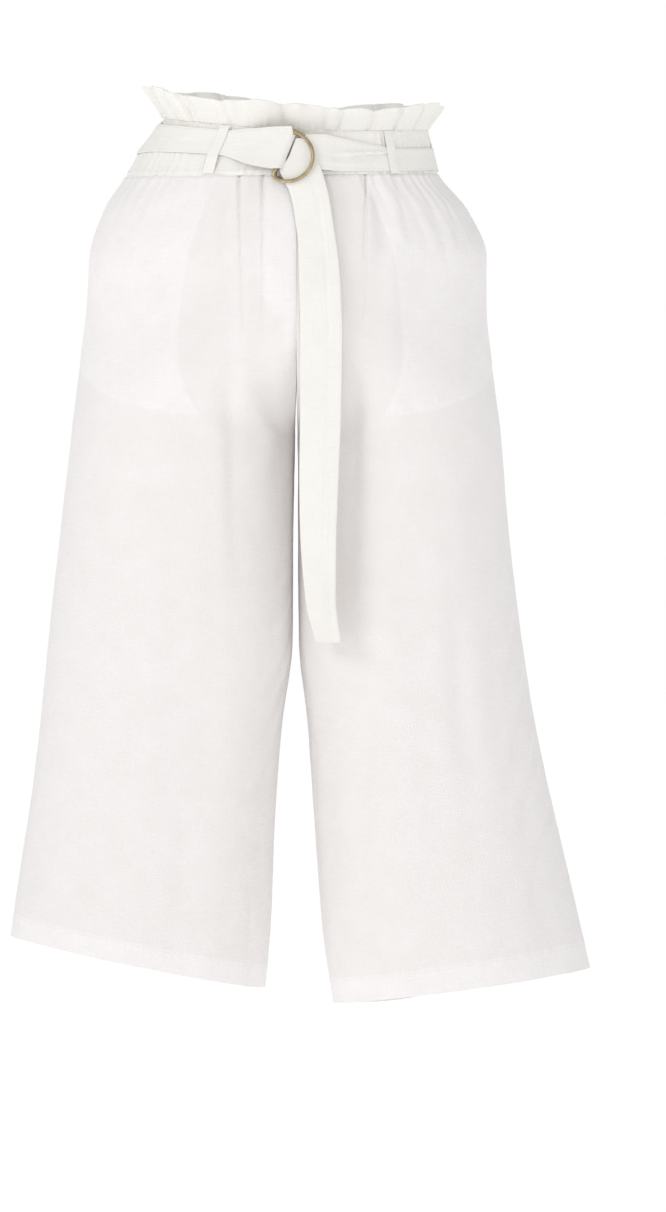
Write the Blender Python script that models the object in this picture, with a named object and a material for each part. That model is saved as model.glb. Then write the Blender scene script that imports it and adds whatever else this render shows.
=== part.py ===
"""Paper-bag culottes in thin linen, hollow as worn, with a D-ring belt.

Metres, +Z up.  The wearer faces -Y, so the wearer's right is at -X.  The origin is the middle of
the waist casing at the centre front line, where the garment is held up.

Every cloth piece is a sheet of points taken from one surface, body_point(), and thickened by a
Solidify modifier.  The surface has a closed round for the waist and hips that divides at the
crotch into two legs.  A place on it is given by
    side   "right" or "left", the wearer's own
    face   "front" or "back"
    drop   how far the level lies below the middle of the casing, negative above it
    u      0 at the side seam, 1 at the centre seam or, below the crotch, at the inseam
"""
import math

import bpy

# ---- driving sizes -------------------------------------------------------------------------
CLOTH = 0.0014            # wall of a leg panel
CASING_WALL = 0.0020      # two layers and the elastic
FRILL_WALL = 0.0015       # the casing's cloth, doubled
BELT_WALL = 0.0012
LOOP_WALL = 0.0012
LINING_WALL = 0.0010      # pocket bags, fly facing and turned-up hems
GAP = 0.0003              # between pieces at a seam or lying on each other

FRILL_TOP = -0.055        # levels, as drops below the origin
CASING_TOP = -0.030
PANEL_TOP = 0.022
RISE_START = 0.130        # where the centre seams begin to curve under
CROTCH = 0.285
HEM = 0.812
HEM_DEPTH = 0.022         # how far the hem is turned up inside
FRONT_DIP = 0.0085        # the waist lies this much lower at the front and higher at the back
DIP_END = 0.450           # drop at which that has died away
BACK_SAG = 0.012          # the wearer's left leg hangs lower behind, near the inseam
SAG_START = 0.560
SAG_REACH = 0.30          # u from which it sags

GATHERS_PER_PANEL = 13    # small gathers under the casing
GATHER_DEPTH = 0.0022
GATHER_FADE = 0.045       # drop over which they die away
CASING_GATHER = 0.0005
FRILL_WAVES = 24
FRILL_DEPTH = 0.0062      # half height of a wave at the frill's edge

MOUTH_TOP = 0.030         # pocket mouth along the side seam
MOUTH_LOW = 0.112
MOUTH_DEPTH = 0.028       # how far the back edge lies behind the front edge
MOUTH_REACH = 0.34        # part of the back panel that is pulled in with it
BAG_OUTER = 0.014         # u of the bag's edge at the side seam
BAG_INNER_TOP = 0.70      # u of the bag's inner edge at its top and low ends
BAG_INNER_LOW = 0.60
BAG_SIDE_END = 0.215      # drop at which the bag leaves the side seam
BAG_LOW = 0.268           # drop of the bag's lowest corner

BAG_COLUMNS = 9
BAG_DROPS = (0.024, MOUTH_TOP, 0.050, 0.071, 0.092, MOUTH_LOW, 0.155, 0.198, BAG_SIDE_END)
BAG_FILL = 0.022          # how far the two layers stand apart where the hand goes
BAG_EDGE = 0.0040         # how far behind the outer layer the two are joined
BAG_CLEARANCE = 0.0016    # beyond the usual gap, because its faces are larger
FACING_COLUMNS = 3        # panel columns that the fly facing covers
FACING_DROPS = (0.034, 0.050, 0.074, 0.110, 0.150)

RING_WIRE = 0.0036
RING_LENGTH = 0.0500      # along the straight bar, to the wire's middle
RING_DEPTH = 0.0320       # from bar to bow, to the wire's middle
RING_LEAN = math.radians(19.5)
RING_X = -0.0152          # middle of the upper ring's bar
RING_Z = -0.0119
# for each ring: how far it has slid along its bar and out, and the lifts of its wire's middle off
# the casing, at the bar and at the bow
RING_PLACES = (("d_ring_upper", 0.0, 0.0, 0.0121, 0.0148),
               ("d_ring_lower", 0.0016, 0.0006, 0.0056, 0.0043))

BELT_STEP = 5.0           # degrees between the belt's rows round the waist
FOLD_LOW = 0.0014         # lifts of the outer sides of the fold that holds the rings
FOLD_HIGH = 0.0166
SEWN_END = ((-0.050, 0.0022), (-0.038, 0.0022), (-0.027, 0.0020))    # x and lift, to the fold
SEWN_TOP = -0.0218        # drop of the sewn end's upper edge, and the fold's, below the rings' ends
LOOP_WIDTH = 0.009
LOOP_ROOM = 0.0055         # the least height of casing on which a loop's end can seat
LOOP_SLOPE = 1.35         # lifts are level, and the casing leans out by up to 40 degrees
LOOP_CLEAR = 0.0022        # beyond the belt's edges before a loop turns in
MEAN_WAIST_RADIUS = 0.120

PANEL_COLUMNS = 26
RING_COLUMNS = 120        # round the casing and the frill
CASING_DROPS = (CASING_TOP, -0.012, 0.005, PANEL_TOP - GAP)
PANEL_DROPS = (PANEL_TOP + 2.0 * GAP, 0.034, 0.050, 0.074, 0.110, 0.150, 0.190, 0.228, 0.256, 0.274,
               CROTCH, 0.350, 0.440, 0.550, 0.680, HEM - HEM_DEPTH, HEM)

# ---- sections ------------------------------------------------------------------------------
# outer: side seam's distance from the middle line; outer_z: its height; inner, inner_z: the same
# for the centre seam (above the crotch) or the inseam (below it)
LEG_COLUMNS = ("drop", "outer", "outer_z", "inner", "inner_z")
RIGHT_LEG = [
    (-0.055, 0.145, 0.060, 0.000, 0.041),
    (-0.030, 0.133, 0.032, 0.000, 0.021),
    (0.000, 0.154, 0.004, 0.000, 0.000),
    (0.022, 0.170, -0.025, 0.000, -0.022),
    (0.060, 0.192, -0.059, 0.000, -0.060),
    (0.105, 0.207, -0.105, 0.000, -0.105),
    (0.160, 0.210, -0.158, 0.000, -0.160),
    (0.220, 0.217, -0.214, 0.000, -0.222),
    (0.285, 0.225, -0.275, 0.0020, -0.285),
    (0.370, 0.234, -0.355, 0.0035, -0.375),
    (0.480, 0.246, -0.460, 0.0045, -0.490),
    (0.560, 0.254, -0.540, 0.0150, -0.575),
    (0.650, 0.264, -0.628, 0.0220, -0.672),
    (0.740, 0.277, -0.716, 0.0260, -0.765),
    (0.812, 0.287, -0.786, 0.0320, -0.838),
]
LEFT_LEG = [
    (-0.055, 0.140, 0.042, 0.000, 0.041),
    (-0.030, 0.131, 0.021, 0.000, 0.021),
    (0.000, 0.134, 0.000, 0.000, 0.000),
    (0.022, 0.140, -0.022, 0.000, -0.022),
    (0.060, 0.170, -0.060, 0.000, -0.060),
    (0.105, 0.1890, -0.105, 0.000, -0.105),
    (0.160, 0.1895, -0.158, 0.000, -0.160),
    (0.220, 0.1955, -0.216, 0.000, -0.222),
    (0.285, 0.2035, -0.278, 0.0010, -0.285),
    (0.370, 0.210, -0.360, 0.0010, -0.375),
    (0.480, 0.222, -0.468, 0.0020, -0.490),
    (0.560, 0.234, -0.548, 0.0110, -0.578),
    (0.650, 0.252, -0.638, 0.0180, -0.676),
    (0.740, 0.274, -0.732, 0.0250, -0.775),
    (0.812, 0.294, -0.818, 0.0360, -0.853),
]
# depth of the body and legs, front and back of their middle
DEPTH_COLUMNS = ("drop", "middle", "front", "back")
DEPTHS = [
    (-0.055, 0.004, 0.112, 0.108),
    (-0.030, 0.004, 0.094, 0.093),
    (0.000, 0.005, 0.097, 0.098),
    (0.022, 0.006, 0.103, 0.106),
    (0.060, 0.008, 0.111, 0.120),
    (0.105, 0.010, 0.117, 0.129),
    (0.160, 0.012, 0.119, 0.131),
    (0.220, 0.012, 0.116, 0.126),
    (0.285, 0.012, 0.109, 0.114),
    (0.370, 0.012, 0.105, 0.107),
    (0.480, 0.012, 0.102, 0.103),
    (0.560, 0.014, 0.100, 0.100),
    (0.650, 0.016, 0.098, 0.098),
    (0.740, 0.018, 0.097, 0.097),
    (0.812, 0.020, 0.0965, 0.0965),
]
# pleats and soft folds; height is positive for a ridge and negative for a trough, and half_width
# is in u
FOLD_COLUMNS = ("side", "face", "u_top", "u_low", "height", "half_width", "top", "low")
FOLDS = [
    ("right", "front", 0.770, 0.800, -0.0052, 0.055, 0.010, 0.180),
    ("right", "front", 0.700, 0.730, 0.0024, 0.060, 0.010, 0.160),
    ("right", "front", 0.868, 0.865, -0.0042, 0.050, 0.010, 0.160),
    ("right", "front", 0.760, 0.640, -0.0060, 0.110, 0.130, 0.400),
    ("right", "front", 0.900, 0.780, -0.0050, 0.090, 0.160, 0.520),
    ("right", "front", 0.320, 0.300, 0.0050, 0.300, 0.040, 0.260),
    ("right", "front", 0.420, 0.440, -0.0045, 0.130, 0.380, 0.900),
    ("right", "front", 0.700, 0.640, 0.0050, 0.140, 0.480, 0.950),
    ("left", "front", 0.661, 0.730, -0.0060, 0.055, 0.010, 0.185),
    ("left", "front", 0.590, 0.650, 0.0026, 0.060, 0.010, 0.160),
    ("left", "front", 0.800, 0.840, -0.0042, 0.050, 0.010, 0.150),
    ("left", "front", 0.780, 0.660, -0.0060, 0.100, 0.130, 0.400),
    ("left", "front", 0.300, 0.280, 0.0046, 0.280, 0.040, 0.270),
    ("left", "front", 0.450, 0.400, -0.0045, 0.130, 0.360, 0.880),
    ("left", "front", 0.620, 0.660, 0.0050, 0.140, 0.500, 0.950),
    ("right", "back", 0.350, 0.380, -0.0045, 0.060, 0.010, 0.170),
    ("right", "back", 0.620, 0.600, -0.0050, 0.060, 0.010, 0.200),
    ("right", "back", 0.500, 0.460, -0.0060, 0.120, 0.250, 0.620),
    ("right", "back", 0.760, 0.700, -0.0055, 0.110, 0.270, 0.700),
    ("right", "back", 0.300, 0.340, 0.0050, 0.140, 0.420, 0.950),
    ("left", "back", 0.380, 0.400, -0.0045, 0.060, 0.010, 0.180),
    ("left", "back", 0.660, 0.620, -0.0050, 0.060, 0.010, 0.190),
    ("left", "back", 0.460, 0.440, -0.0060, 0.120, 0.260, 0.600),
    ("left", "back", 0.740, 0.690, -0.0055, 0.110, 0.280, 0.720),
    ("left", "back", 0.320, 0.300, 0.0050, 0.140, 0.440, 0.950),
]
# the belt's route round the waist; turn is the angle from the centre front towards the wearer's
# right, top and low its edges' drops, lift its height off the casing
BELT_COLUMNS = ("turn", "top", "low", "lift")
BELT = [
    (6.0, -0.0335, 0.0180, 0.0165),
    (12.0, -0.0310, 0.0155, 0.0164),
    (17.0, -0.0285, 0.0125, 0.0118),
    (22.0, -0.0270, 0.0090, 0.0056),
    (26.5, -0.0245, 0.0060, 0.0031),
    (31.0, -0.0235, 0.0045, 0.0027),
    (60.0, -0.024, 0.003, 0.0027),
    (90.0, -0.024, 0.006, 0.0027),
    (135.0, -0.022, 0.012, 0.0027),
    (180.0, -0.018, 0.016, 0.0027),
    (225.0, -0.012, 0.018, 0.0027),
    (270.0, -0.004, 0.019, 0.0027),
    (310.0, -0.004, 0.020, 0.0027),
    (330.0, -0.0115, 0.020, 0.0027),
    (342.0, -0.0195, 0.020, 0.0050),
    (349.0, -0.0240, 0.019, 0.0088),
    (359.0, -0.0235, 0.015, 0.0088),
]
LOOP_TURNS = (31.0, 104.0, 180.0, 258.0, 317.0)
# the hanging tail of the belt: its edge on the wearer's left, its width as seen from the front,
# how far it stands out from the front and how far its other edge is turned back
TAIL_COLUMNS = ("z", "edge", "seen", "out", "turned")
TAIL = [
    (0.004, 0.0115, 0.0120, 0.0103, 0.000),
    (-0.008, 0.0165, 0.0215, 0.0103, 0.000),
    (-0.018, 0.0208, 0.0290, 0.0103, 0.000),
    (-0.029, 0.0252, 0.0350, 0.0102, 0.000),
    (-0.040, 0.0285, 0.0330, 0.0097, 0.000),
    (-0.052, 0.0315, 0.0315, 0.0088, 0.001),
    (-0.085, 0.0368, 0.035, 0.0062, 0.002),
    (-0.130, 0.0425, 0.040, 0.0052, 0.000),
    (-0.190, 0.0448, 0.041, 0.0058, 0.003),
    (-0.260, 0.0438, 0.040, 0.0054, 0.006),
    (-0.333, 0.0409, 0.038, 0.0050, 0.012),
    (-0.400, 0.0385, 0.034, 0.0046, 0.021),
    (-0.450, 0.0380, 0.029, 0.0042, 0.027),
    (-0.492, 0.0429, 0.024, 0.0040, 0.032),
]
TAIL_LEAVES = 0.150       # drop below which the tail hangs straight down


# ---- small mathematics ---------------------------------------------------------------------
def smooth_step(value, low, high):
    part = min(1.0, max(0.0, (value - low) / (high - low)))
    return part * part * (3.0 - 2.0 * part)


def bump(value, low, high):
    """0 outside low..high and a smooth hill of height 1 between them."""
    if value <= low or value >= high:
        return 0.0
    return math.sin(math.pi * (value - low) / (high - low)) ** 2


def table_value(rows, columns, name, at):
    """A column of a table at any value of the first column, along a smooth curve."""
    column = columns.index(name)
    last = len(rows) - 1
    if at <= rows[0][0]:
        return rows[0][column]
    if at >= rows[last][0]:
        return rows[last][column]
    k = next(i for i in range(last) if rows[i + 1][0] > at)
    span = rows[k + 1][0] - rows[k][0]
    part = (at - rows[k][0]) / span

    def rise(i):
        return (rows[i + 1][column] - rows[i][column]) / (rows[i + 1][0] - rows[i][0])

    def slope(i):
        """The curve's slope at a row, chosen so that it never swings past its neighbours."""
        if i in (0, last):
            return rise(min(i, last - 1))
        before, after = rise(i - 1), rise(i)
        return 0.0 if before * after <= 0.0 else 2.0 * before * after / (before + after)

    square, cube = part * part, part * part * part
    return ((2 * cube - 3 * square + 1) * rows[k][column]
            + (cube - 2 * square + part) * span * slope(k)
            + (3 * square - 2 * cube) * rows[k + 1][column]
            + (cube - square) * span * slope(k + 1))


# ---- the surface ---------------------------------------------------------------------------
def leg_value(side, name, drop):
    return table_value(RIGHT_LEG if side == "right" else LEFT_LEG, LEG_COLUMNS, name, drop)


def wrap_angle(drop):
    """How far round its section a panel reaches: to the centre seam, then on to the inseam.

    The change begins and ends gently, so that no ridge runs across the legs, and the centre seam
    comes into the crotch level.
    """
    down = min(1.0, max(0.0, (drop - RISE_START) / (CROTCH - RISE_START)))
    return math.radians(90.0) + math.asin(1.0 - (1.0 - down * down) ** 2)


def waist_dip(drop):
    """How far the centre front lies below the side seams' level, and the centre back above it."""
    return FRONT_DIP * max(0.0, (DIP_END - drop) / DIP_END)


def back_sag(side, face, drop, u):
    if (side, face) != ("left", "back"):
        return 0.0
    return BACK_SAG * smooth_step(drop, SAG_START, HEM) * bump(u, SAG_REACH, 1.0)


def fold_height(side, face, drop, u):
    """Height of the pleats and folds over the smooth surface."""
    total = 0.0
    for row in FOLDS:
        fold = dict(zip(FOLD_COLUMNS, row))
        if (fold["side"], fold["face"]) != (side, face):
            continue
        along = bump(drop, fold["top"] - 0.35 * (fold["low"] - fold["top"]), fold["low"])
        part = smooth_step(drop, fold["top"], fold["low"])
        centre = fold["u_top"] + part * (fold["u_low"] - fold["u_top"])
        across = bump(u, centre - fold["half_width"], centre + fold["half_width"])
        total += fold["height"] * along * across
    return total


def gather_height(drop, u):
    """The small gathers that the casing draws the panels into, gone at the seams."""
    if drop < PANEL_TOP:
        return 0.0
    uneven = 0.75 + 0.25 * math.sin(11.0 * u + 1.0)
    at_seams = min(1.0, u / 0.08, (1.0 - u) / 0.08)
    fade = math.exp(-(drop - PANEL_TOP) / GATHER_FADE)
    return -GATHER_DEPTH * uneven * at_seams * fade * math.cos(math.tau * GATHERS_PER_PANEL * u)


def body_point(side, face, drop, u, out=0.0, folds=True):
    """A point of the garment's outer surface, moved out by the given distance."""
    wrap = wrap_angle(drop)
    angle = wrap * u
    part = (1.0 - math.cos(angle)) / (1.0 - math.cos(wrap))
    outer, inner = leg_value(side, "outer", drop), leg_value(side, "inner", drop)
    outer_z, inner_z = leg_value(side, "outer_z", drop), leg_value(side, "inner_z", drop)
    depth = table_value(DEPTHS, DEPTH_COLUMNS, face, drop)
    middle = table_value(DEPTHS, DEPTH_COLUMNS, "middle", drop)

    away = outer + (inner - outer) * part            # from the middle line
    deep = depth * math.sin(angle)                   # from the side seam's plane
    half = (outer - inner) / (1.0 - math.cos(wrap))
    normal = (math.cos(angle) / half, math.sin(angle) / depth)
    length = math.hypot(*normal)
    lift = out + (fold_height(side, face, drop, u) + gather_height(drop, u) if folds else 0.0)
    away += lift * normal[0] / length
    deep += lift * normal[1] / length

    if face == "back":
        near_seam = max(0.0, 1.0 - u / MOUTH_REACH)
        away -= MOUTH_DEPTH * bump(drop, MOUTH_TOP, MOUTH_LOW) * near_seam ** 2
    x_sign = -1.0 if side == "right" else 1.0
    y_sign = -1.0 if face == "front" else 1.0
    z = outer_z + (inner_z - outer_z) * part + y_sign * waist_dip(drop) * math.sin(angle)
    return (x_sign * away, middle + y_sign * deep, z - back_sag(side, face, drop, u))


def seam_trim(side, face, drop, u):
    """The step in u that leaves half a seam's gap at this end of a row."""
    step = 0.001
    other = u + step if u < 0.5 else u - step
    here = body_point(side, face, drop, u, folds=False)
    there = body_point(side, face, drop, other, folds=False)
    return step * 0.5 * GAP / math.dist(here, there)


def round_point(turn, drop, out=0.0, folds=True):
    """A point round the waist; turn runs from the centre front to the wearer's right, in degrees."""
    turn %= 360.0
    side = "right" if turn < 180.0 else "left"
    face = "front" if turn < 90.0 or turn >= 270.0 else "back"
    from_front = turn if turn < 180.0 else 360.0 - turn
    u = 1.0 - from_front / 90.0 if face == "front" else from_front / 90.0 - 1.0
    return body_point(side, face, drop, u, out, folds)


def between_rows(drops, drop, point):
    """A point where a piece's face is straight between its own rows; point gives one on a row."""
    k = 0
    while k < len(drops) - 2 and drop > drops[k + 1]:
        k += 1
    part = (drop - drops[k]) / (drops[k + 1] - drops[k])
    return tuple(a + part * (b - a) for a, b in zip(point(drops[k]), point(drops[k + 1])))


def casing_point(turn, drop, out=0.0):
    return between_rows(CASING_DROPS, drop, lambda row: round_point(turn, row, out, folds=False))


def panel_point(side, face, drop, u, out=0.0):
    return between_rows(PANEL_DROPS, drop, lambda row: body_point(side, face, row, u, out))


# ---- mesh helpers --------------------------------------------------------------------------
def surface(name, colour, roughness, metallic=0.0):
    material = bpy.data.materials.get(name) or bpy.data.materials.new(name)
    material.use_nodes = True
    shader = material.node_tree.nodes["Principled BSDF"]
    shader.inputs["Base Color"].default_value = (*colour, 1.0)
    shader.inputs["Roughness"].default_value = roughness
    shader.inputs["Metallic"].default_value = metallic
    return material


def white_linen():
    return surface("white linen", (0.87, 0.85, 0.82), 0.9)


def brass():
    return surface("antique brass", (0.50, 0.36, 0.16), 0.35, 1.0)


def add_sheet(name, points, faces, wall):
    """A sheet of cloth, its outer side given, as a closed body with the wall behind it."""
    mesh = bpy.data.meshes.new(name)
    mesh.from_pydata(points, [], faces)
    mesh.update()
    sheet = bpy.data.objects.new(name, mesh)
    bpy.context.scene.collection.objects.link(sheet)
    solidify = sheet.modifiers.new("Wall", "SOLIDIFY")
    solidify.thickness = wall
    solidify.offset = -1.0
    mesh.materials.append(white_linen())
    mesh.shade_smooth()
    return sheet


def grid_faces(rows, columns, closed=False, flip=False):
    """Quads of a grid stored row by row; closed joins its last column to its first."""
    faces = []
    for r in range(rows - 1):
        for c in range(columns if closed else columns - 1):
            d = (c + 1) % columns
            quad = (r * columns + c, r * columns + d, (r + 1) * columns + d, (r + 1) * columns + c)
            faces.append(quad[::-1] if flip else quad)
    return faces


def add_grid(name, rows, wall, closed=False, flip=False):
    points = [point for row in rows for point in row]
    faces = grid_faces(len(rows), len(rows[0]), closed, flip)
    return add_sheet(name, points, faces, wall)


def inward(side, face):
    """Whether a grid of rows down and u across has to be flipped to face outwards."""
    return (side == "right") == (face == "front")


# ---- the pieces ----------------------------------------------------------------------------
def leg_panel(side, face):
    rows = []
    for drop in PANEL_DROPS:
        start = seam_trim(side, face, drop, 0.0)
        end = 1.0 - seam_trim(side, face, drop, 1.0)
        rows.append([body_point(side, face, drop, start + (end - start) * c / PANEL_COLUMNS)
                     for c in range(PANEL_COLUMNS + 1)])
    return add_grid(f"{face}_{side}", rows, CLOTH, flip=inward(side, face))


def waist_casing():
    rows = []
    for drop in CASING_DROPS:
        rows.append([round_point(360.0 * c / RING_COLUMNS, drop, CASING_GATHER * (-1) ** c, False)
                     for c in range(RING_COLUMNS)])
    return add_grid("waist_casing", rows, CASING_WALL, closed=True)


def frill_wave(turn, rise):
    """How far a wave of the frill stands out; rise runs from 0 at its foot to 1 at its edge."""
    uneven = 1.0 + 0.30 * math.sin(math.radians(3.0 * turn + 40.0))
    drift = 7.0 * math.sin(math.radians(2.0 * turn))
    wave = math.cos(math.radians(FRILL_WAVES * (turn + drift * 0.3)))
    return FRILL_DEPTH * (0.12 + 0.88 * rise) * uneven * wave


def frill():
    foot = CASING_TOP - GAP
    rows = []
    for rise in (1.0, 0.6, 0.3, 0.0):
        row = []
        for c in range(RING_COLUMNS):
            turn = 360.0 * c / RING_COLUMNS
            x, y, z = round_point(turn, foot + rise * (FRILL_TOP - foot), frill_wave(turn, rise), False)
            row.append((x, y, z + 0.003 * rise * math.sin(math.radians(5.0 * turn + 70.0))))
        rows.append(row)
    return add_grid("frill", rows, FRILL_WALL, closed=True)


def belt_row(turn, lift, lean=0.0, highest=FRILL_TOP):
    """Points across the belt, from its top edge to its low one, at one place round the waist."""
    top, low = (table_value(BELT, BELT_COLUMNS, name, turn) for name in ("top", "low"))
    top = max(top, highest)
    row = []
    for part in (0.0, 1.0 / 3.0, 2.0 / 3.0, 1.0):
        x, y, z = casing_point(turn, top + part * (low - top), lift)
        row.append((x + lean * math.tan(RING_LEAN) * (z - RING_Z), y, z))
    return row


def turn_at(x):
    """The turn at which the front of the waist lies at x."""
    side = "right" if x < 0.0 else "left"
    return math.degrees(math.asin(-x / leg_value(side, "outer", 0.0)))


def front_drop(z):
    """The drop of a height at the centre front, where the casing's upper part is drawn together."""
    level = z + FRONT_DIP
    return level * CASING_TOP / leg_value("right", "inner_z", CASING_TOP) if level > 0.0 else -level


def belt():
    """The strip from its sewn-down end, over the ring bars and round the waist to the rings' bow."""
    radius = 0.5 * (FOLD_HIGH - FOLD_LOW)
    middle = 0.5 * (FOLD_HIGH + FOLD_LOW)
    fold_x = RING_X - 0.0003
    rows = [belt_row(turn_at(x), lift, lean=1.0, highest=SEWN_TOP) for x, lift in SEWN_END]
    for step in range(9):
        angle = math.radians(-90.0 + 22.5 * step)
        x = fold_x + radius * math.cos(angle)
        highest = SEWN_TOP + (BELT[0][1] - SEWN_TOP) * max(0.0, step - 6.0) / 2.0
        rows.append(belt_row(turn_at(x), middle + radius * math.sin(angle), 1.0, highest))
    first, last = turn_at(fold_x), BELT[-1][0]
    steps = round((last - first) / BELT_STEP)
    for step in range(1, steps + 1):
        turn = first + (last - first) * step / steps
        lean = max(1.0 - (turn - first) / 20.0, 1.0 - (last - turn) / 12.0, 0.0)
        rows.append(belt_row(turn, table_value(BELT, BELT_COLUMNS, "lift", turn), lean))
    return add_grid("belt", rows, BELT_WALL, flip=True)


def belt_tail():
    """The belt's free end, hanging from between the rings in front of the wearer's left leg."""
    rows = []
    for row in TAIL:
        place = dict(zip(TAIL_COLUMNS, row))
        drop = min(front_drop(place["z"]), TAIL_LEAVES)
        on_casing = drop < PANEL_TOP
        under = (casing_point(0.0, drop) if on_casing
                 else body_point("left", "front", drop, 1.0, folds=False))
        y = under[1] - place["out"]
        rows.append([(place["edge"] - place["seen"] * part, y + place["turned"] * part, place["z"])
                     for part in (0.0, 0.35, 0.7, 1.0)])
    return add_grid("belt_tail", rows, BELT_WALL)


def belt_loop(number, turn):
    """A strap over the belt, its ends brought in to the casing where the belt leaves room."""
    top, low, lift = (table_value(BELT, BELT_COLUMNS, name, turn) for name in ("top", "low", "lift"))
    seated = CASING_GATHER + GAP + LOOP_WALL
    over = lift + LOOP_SLOPE * (GAP + LOOP_WALL)
    path = [(top - LOOP_CLEAR, over), (top + (low - top) / 3.0, over),
            (low - (low - top) / 3.0, over), (low + LOOP_CLEAR, over)]
    if top - CASING_TOP > LOOP_ROOM:
        path.insert(0, (CASING_TOP + 0.0005, seated))
    if PANEL_TOP - low > LOOP_ROOM:
        path.append((PANEL_TOP - 0.001, seated))
    half = math.degrees(0.5 * LOOP_WIDTH / MEAN_WAIST_RADIUS)
    rows = [[casing_point(turn + half * part, drop, out) for part in (-1.0, 0.0, 1.0)]
            for drop, out in path]
    return add_grid(f"belt_loop_{number}", rows, LOOP_WALL)


def turned_hem(side):
    """The hem's cloth, turned up inside all round the leg."""
    inside = -(CLOTH + GAP)
    stops = [("front", c / PANEL_COLUMNS) for c in range(PANEL_COLUMNS + 1)]
    stops += [("back", c / PANEL_COLUMNS) for c in range(PANEL_COLUMNS - 1, 0, -1)]
    rows = [[panel_point(side, face, drop, u, inside) for face, u in stops]
            for drop in (HEM - HEM_DEPTH, HEM - GAP)]
    return add_grid(f"hem_{side}", rows, LINING_WALL, closed=True, flip=side == "right")


def fly_facing():
    """The facing behind the wearer's right front, along the centre seam."""
    inside = -(CLOTH + 2.0 * GAP)
    end = 1.0 - seam_trim("right", "front", FACING_DROPS[0], 1.0)
    rows = []
    for k, drop in enumerate(FACING_DROPS):
        row = []
        for c in range(FACING_COLUMNS + 1):
            u = min(end, 1.0 - (FACING_COLUMNS - c) / PANEL_COLUMNS)
            rounded = 0.020 if k == len(FACING_DROPS) - 1 and c == 0 else 0.0
            row.append(panel_point("right", "front", drop - rounded, u, inside))
        rows.append(row)
    return add_grid("fly_facing", rows, LINING_WALL, flip=inward("right", "front"))


def bag_point(side, c, r, inner_layer, joined):
    """A point of a pocket bag: column c from the side seam, row r down, outer or inner layer.

    Where the layers are joined, the point lies a little behind the outer one.
    """
    across, down = c / BAG_COLUMNS, r / (len(BAG_DROPS) - 1)
    top = BAG_DROPS[0]
    low = BAG_SIDE_END + (BAG_LOW - BAG_SIDE_END) * math.sin(0.5 * math.pi * across)
    drop = top + (BAG_DROPS[r] - top) * (low - top) / (BAG_SIDE_END - top)
    inner_u = BAG_INNER_TOP + (BAG_INNER_LOW - BAG_INNER_TOP) * down
    u = BAG_OUTER + (inner_u - BAG_OUTER) * across
    behind = CLOTH + GAP + BAG_CLEARANCE + GATHER_DEPTH * math.exp(-(drop - PANEL_TOP) / GATHER_FADE)
    if joined:
        behind += BAG_EDGE
    elif inner_layer:
        mouth = bump(BAG_DROPS[r], MOUTH_TOP, MOUTH_LOW)
        from_side = mouth + (1.0 - mouth) * min(1.0, across / 0.2)
        from_edges = min(1.0, (1.0 - across) / 0.2, down / 0.2, (1.0 - down) / 0.15)
        behind += BAG_FILL * min(from_side, from_edges)
    return panel_point(side, "front", drop, u, -behind)


def pocket_bag(side):
    """Two layers joined at every edge but the mouth, where the hand goes in."""
    points, index = [], {}
    last_row = len(BAG_DROPS) - 1
    corners = [(r, c) for r in (0, last_row) for c in (0, BAG_COLUMNS)]
    for inner_layer in (False, True):
        for r in range(last_row + 1):
            for c in range(BAG_COLUMNS + 1):
                in_mouth = c == 0 and MOUTH_TOP < BAG_DROPS[r] < MOUTH_LOW
                edge = c in (0, BAG_COLUMNS) or r in (0, last_row)
                joined = edge and not in_mouth
                if inner_layer and joined:
                    index[True, r, c] = index[False, r, c]
                    continue
                index[inner_layer, r, c] = len(points)
                points.append(bag_point(side, c, r, inner_layer, joined))
    faces = []
    for inner_layer in (False, True):
        for r in range(last_row):
            for c in range(BAG_COLUMNS):
                places = ((r, c), (r, c + 1), (r + 1, c + 1), (r + 1, c))
                quad = [index[inner_layer, *place] for place in places]
                # a corner's face is split from the corner, so that the layers share no triangle
                first = next((k for k, place in enumerate(places) if place in corners), None)
                pieces = [quad]
                if first is not None:
                    tip, after, across, before = quad[first:] + quad[:first]
                    pieces = [(tip, after, across), (tip, across, before)]
                for piece in pieces:
                    faces.append(piece[::-1] if inward(side, "front") != inner_layer else piece)
    return add_sheet(f"pocket_bag_{side}", points, faces, LINING_WALL)


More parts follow.
